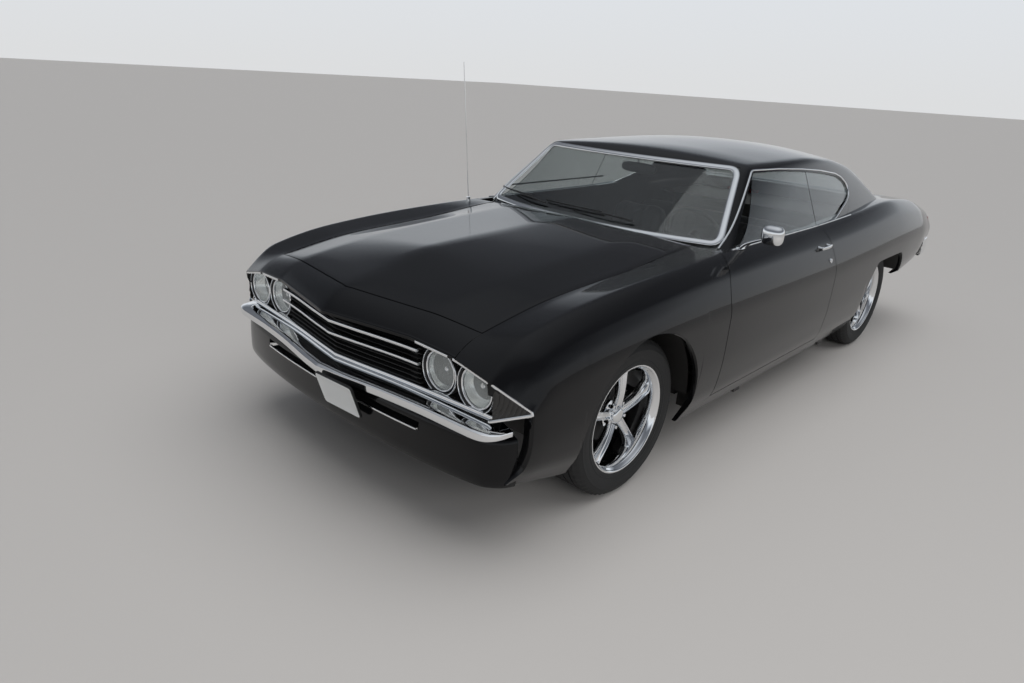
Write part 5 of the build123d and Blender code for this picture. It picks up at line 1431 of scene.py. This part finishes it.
shell = np.stack([0.052 * signed_power(np.sin(phi), 0.7) * signed_power(np.cos(theta), 0.62),
                  -0.034 * np.clip(np.cos(phi), -0.38, 1.0),
                  0.046 * signed_power(np.sin(phi), 0.7) * signed_power(np.sin(theta), 0.62)], -1)
mirror_rings = np.linspace(0, 1, 8)
mirror_pane = np.stack([0.044 * np.outer(mirror_rings, signed_power(np.cos(theta[0]), 0.62)),
                        np.full((len(mirror_rings), theta.shape[1]), 0.0134),
                        0.038 * np.outer(mirror_rings, signed_power(np.sin(theta[0]), 0.62))], -1)
legs = []
for foot_y, head_y in ((-0.716, -0.722), (-0.668, -0.706)):
    leg_path = through([(0.822, foot_y, 0.938), (0.846, foot_y - 0.002, 0.962),
                        (0.890, (foot_y + head_y) / 2, 0.985), (0.936, head_y, 1.004),
                        (0.950, head_y, 1.014)], 24)
    legs.append(tapered(leg_path, (0, 1, 0), oval(0.013, 0.011), np.linspace(1.2, 0.8, 24)))
foot_angle, foot_r = np.meshgrid(np.linspace(0, 2 * np.pi, 41), np.linspace(0, 1, 10), indexing="xy")
foot_x = 0.812 + 0.017 * foot_r * np.cos(foot_angle)
foot_shell = top_points(foot_x, -0.692 + 0.046 * foot_r * np.sin(foot_angle))
foot_shell[..., 2] += 0.012 * np.sqrt(np.clip(1 - foot_r ** 4, 0, 1)) - 0.003

for side, turn_over in SIDES.items():
    piece(f"handle_{side}", [turn_over(grid) for grid in (handle_grip, *posts)], "chrome", f"door_{side}",
          caps=True, stands_for=[f"door_fittings_{side}"])
    piece(f"lock_{side}", [turn_over(lock)], "chrome", f"door_{side}", inside=(0, lock_y, lock_z))
piece("mirror_legs", legs, "chrome", "door_left", caps=True)
piece("mirror_shell", [shell + mirror_centre, foot_shell], "chrome", "door_left",
      inside=tuple(mirror_centre - [0, 0, 0.3]), sharp=50)
piece("mirror_pane", [mirror_pane + mirror_centre], "chrome", "door_left", inside=(0.966, -1.0, 1.025))
print("door fittings ready")

# %% [markdown]
# At the back a plated bumper bar wraps the corners, and the lamps sit in the tail panel. Wiper arms lie on
# the cowl. The bumper is the same kind of band as in front, carried the other way round.

# %% Rear bumper, tail lamp frames and wipers
REAR_LINE = [(0, 2500), (230, 2499), (440, 2495), (640, 2487), (780, 2476), (850, 2459), (888, 2420),
             (905, 2330), (915, 2200)]
REAR_SECTION = [(-0.040, 0.524), (-0.014, 0.520), (-0.004, 0.527), (0.0, 0.545), (0.0, 0.570),
                (-0.004, 0.580), (-0.004, 0.588), (0.0, 0.598), (-0.001, 0.622), (-0.006, 0.636),
                (-0.018, 0.640), (-0.040, 0.640)]
rear_half = through(np.array(REAR_LINE) * mm, 90)
rear_line = np.vstack([rear_half[:0:-1], rear_half * [-1, 1]])
rear_bumper = band(rear_line, REAR_SECTION)
piece("rear_bumper_bar", [rear_bumper], "chrome", stands_for=["rear_bumper"], caps=True)

LAMP_BOX = [(0.566, 0.704), (0.866, 0.704), (0.838, 0.786), (0.566, 0.786)]
lamp_outline = rounded_path(LAMP_BOX, 0.012, 120, closed=True)
lamp_frame_y = 2.4610
frame_path = np.stack([lamp_outline[:, 0], np.full(len(lamp_outline), lamp_frame_y), lamp_outline[:, 1]], -1)
lamp_frame = sweep(frame_path, (0, 1, 0), crowned(0.010, 0.006, 7, -0.004), closed=True)
piece("tail_lamp_frames", both(lamp_frame), "chrome", wrap=True)

wipers = []
for pivot_x, tip_x in ((0.30, -0.10), (-0.28, -0.62)):
    arm_x = np.linspace(pivot_x, tip_x, 26)
    lift = np.linspace(0, 1, 26)
    plan = np.stack([arm_x, 0.982 + 0.012 * lift], -1)
    arm = from_end(plan, -1) + np.array([0, -0.006, 0.006]) * (1 + np.sin(np.pi * lift))[:, None]
    wipers.append(tapered(arm, (0, -0.4, 0.9), oval(0.009, 0.006), np.linspace(1.3, 0.6, 26)))
    blade = from_end(np.stack([np.linspace(tip_x - 0.19, tip_x + 0.21, 40), np.full(40, 0.998)], -1), -1)
    wipers.append(sweep(blade + np.array([0, -0.004, 0.003]), (0, -0.5, 0.85), oval(0.007, 0.010)))
piece("wipers", wipers, "grille_black", caps=True)
print("rear and wipers ready")

# %% [markdown]
# Each door hangs on two arms that reach from the hinge pins, ahead of the door, round to its inner face. They
# show only when a door is open. Inside, a mirror hangs from the header on a short stalk.

# %% Hinge arms and the inside mirror
hinge_x, hinge_y, arm_x = 0.925, -1.060, 0.853
arms = []
for hinge_z in (0.700, 0.430):
    arm_path = through([(hinge_x, hinge_y, hinge_z), (0.890, hinge_y, hinge_z),
                        (0.858, hinge_y + 0.006, hinge_z), (arm_x, hinge_y + 0.030, hinge_z),
                        (arm_x, hinge_y + 0.075, hinge_z)], 30)
    arms.append(sweep(arm_path, (0, 0, 1), oval(0.016, 0.030)))
for side, turn_over in SIDES.items():
    piece(f"hinge_arms_{side}", [turn_over(arm) for arm in arms], "body_paint", f"door_{side}", caps=True)

round_angle, pole_angle = np.meshgrid(np.linspace(0, 2 * np.pi, 49), np.linspace(0, np.pi, 20), indexing="xy")
case_width, case_depth, case_height, case_power = 0.115, 0.014, 0.028, 0.6
ring = signed_power(np.sin(pole_angle), case_power)
case = np.stack([case_width * ring * signed_power(np.cos(round_angle), case_power),
                 case_depth * np.cos(pole_angle),
                 case_height * ring * signed_power(np.sin(round_angle), case_power)], -1)
STALK = [(0, -0.400, 1.210), (0, -0.412, 1.240), (0, -0.405, 1.268)]
stalk = sweep(through(STALK, 12), (1, 0, 0), oval(0.012, 0.012))
piece("inside_mirror", [case + np.array([0.0, -0.400, 1.190])], "interior_black")
piece("inside_mirror_stalk", [stalk], "chrome", caps=True)
print("hinge arms and inside mirror ready")

# %% [markdown]
# The seats are padded, so cloth simulation shapes them. Each pad starts as a soft block a little smaller than
# the real one, is remeshed to even quads and blown up a little, with a cap on how far a point may move. The
# sewn channels are pressed in afterwards, as shallow grooves worked out from the place of each point.

# %% Padded seats
pad_voxel, pad_pressure, pad_frames, pad_cap = 0.012, 4.0, 20, 0.024
channel_pitch, channel_depth, channel_width = 0.074, 0.006, 0.007


def soft_block(centre, size, lean, power=5.0, count=44):
    """Points of a block with rounded edges: a sphere pushed out until the sum of the powers of its three
    coordinates is one, then scaled to size, leaned back about its foot and put in place."""
    phi, theta = np.meshgrid(np.linspace(0, np.pi, count), np.linspace(0, 2 * np.pi, 2 * count + 1),
                             indexing="ij")
    ball = np.stack([np.sin(phi) * np.cos(theta), np.sin(phi) * np.sin(theta), np.cos(phi)], -1)
    ball /= (np.abs(ball) ** power).sum(-1, keepdims=True) ** (1 / power)
    block = ball * np.asarray(size) / 2
    block[..., 2] += size[2] / 2
    turn = np.array([[1, 0, 0], [0, math.cos(lean), math.sin(lean)], [0, -math.sin(lean), math.cos(lean)]])
    block = block @ turn.T
    return block + np.asarray(centre)


def blown_up(thing):
    """Remeshes a pad to even quads and lets cloth under pressure swell it, no point further than the cap."""
    bpy.context.view_layer.objects.active = thing
    thing.select_set(True)
    thing.data.remesh_voxel_size = pad_voxel
    bpy.ops.object.voxel_remesh()
    count = len(thing.data.vertices)
    before = np.empty(count * 3)
    thing.data.vertices.foreach_get("co", before)
    before = before.reshape(-1, 3)
    cloth = thing.modifiers.new("cloth", "CLOTH")
    cloth.settings.use_pressure = True
    cloth.settings.uniform_pressure_force = pad_pressure
    cloth.settings.effector_weights.gravity = 0
    cloth.settings.quality = 4
    for step in range(1, pad_frames + 1):
        bpy.context.scene.frame_set(step)
    swollen = thing.evaluated_get(bpy.context.evaluated_depsgraph_get()).to_mesh()
    after = np.empty(count * 3)
    swollen.vertices.foreach_get("co", after)
    move = after.reshape(-1, 3) - before
    far = np.linalg.norm(move, axis=1, keepdims=True)
    placed = before + move * np.minimum(1, pad_cap / np.maximum(far, 1e-9))
    thing.modifiers.clear()
    bpy.context.scene.frame_set(1)
    thing.data.vertices.foreach_set("co", placed.ravel())
    thing.data.update()
    thing.select_set(False)


def channelled(thing):
    """Presses sewn channels in: each point sinks along its normal by a narrow bell at every pitch."""
    count = len(thing.data.vertices)
    place, normal = np.empty(count * 3), np.empty(count * 3)
    thing.data.vertices.foreach_get("co", place)
    thing.data.vertices.foreach_get("normal", normal)
    place, normal = place.reshape(-1, 3), normal.reshape(-1, 3)
    run = place[:, 0] / channel_pitch
    away = (run - np.round(run)) * channel_pitch
    sunk = place - normal * channel_depth * np.exp(-(away / channel_width) ** 2)[:, None]
    thing.data.vertices.foreach_set("co", sunk.ravel())
    thing.data.update()


# name, centre of the foot, size, lean in degrees, nodes it stands for
PADS = [
    ("seat_cushion_left", (0.436, -0.010, 0.315), (0.44, 0.46, 0.135), 0, ["front_seats"]),
    ("seat_back_left", (0.436, 0.245, 0.420), (0.44, 0.115, 0.47), 14, []),
    ("seat_cushion_right", (-0.436, -0.010, 0.315), (0.44, 0.46, 0.135), 0, []),
    ("seat_back_right", (-0.436, 0.245, 0.420), (0.44, 0.115, 0.47), 14, []),
    ("bench_cushion", (0, 0.630, 0.315), (1.12, 0.36, 0.125), 0, ["rear_seat"]),
    ("bench_back", (0, 0.860, 0.400), (1.12, 0.120, 0.43), 14, []),
]
for name, centre, size, lean, stands_for in PADS:
    block = soft_block(centre, size, math.radians(lean))
    pad = piece(name, [block], "seat_vinyl", stands_for=stands_for, sharp=180)
    blown_up(pad)
    channelled(pad)
    smooth_pad = pad.modifiers.new("rounding", "SUBSURF")
    smooth_pad.levels = smooth_pad.render_levels = 1
    pad.data.shade_smooth()
print("pads", len(PADS))
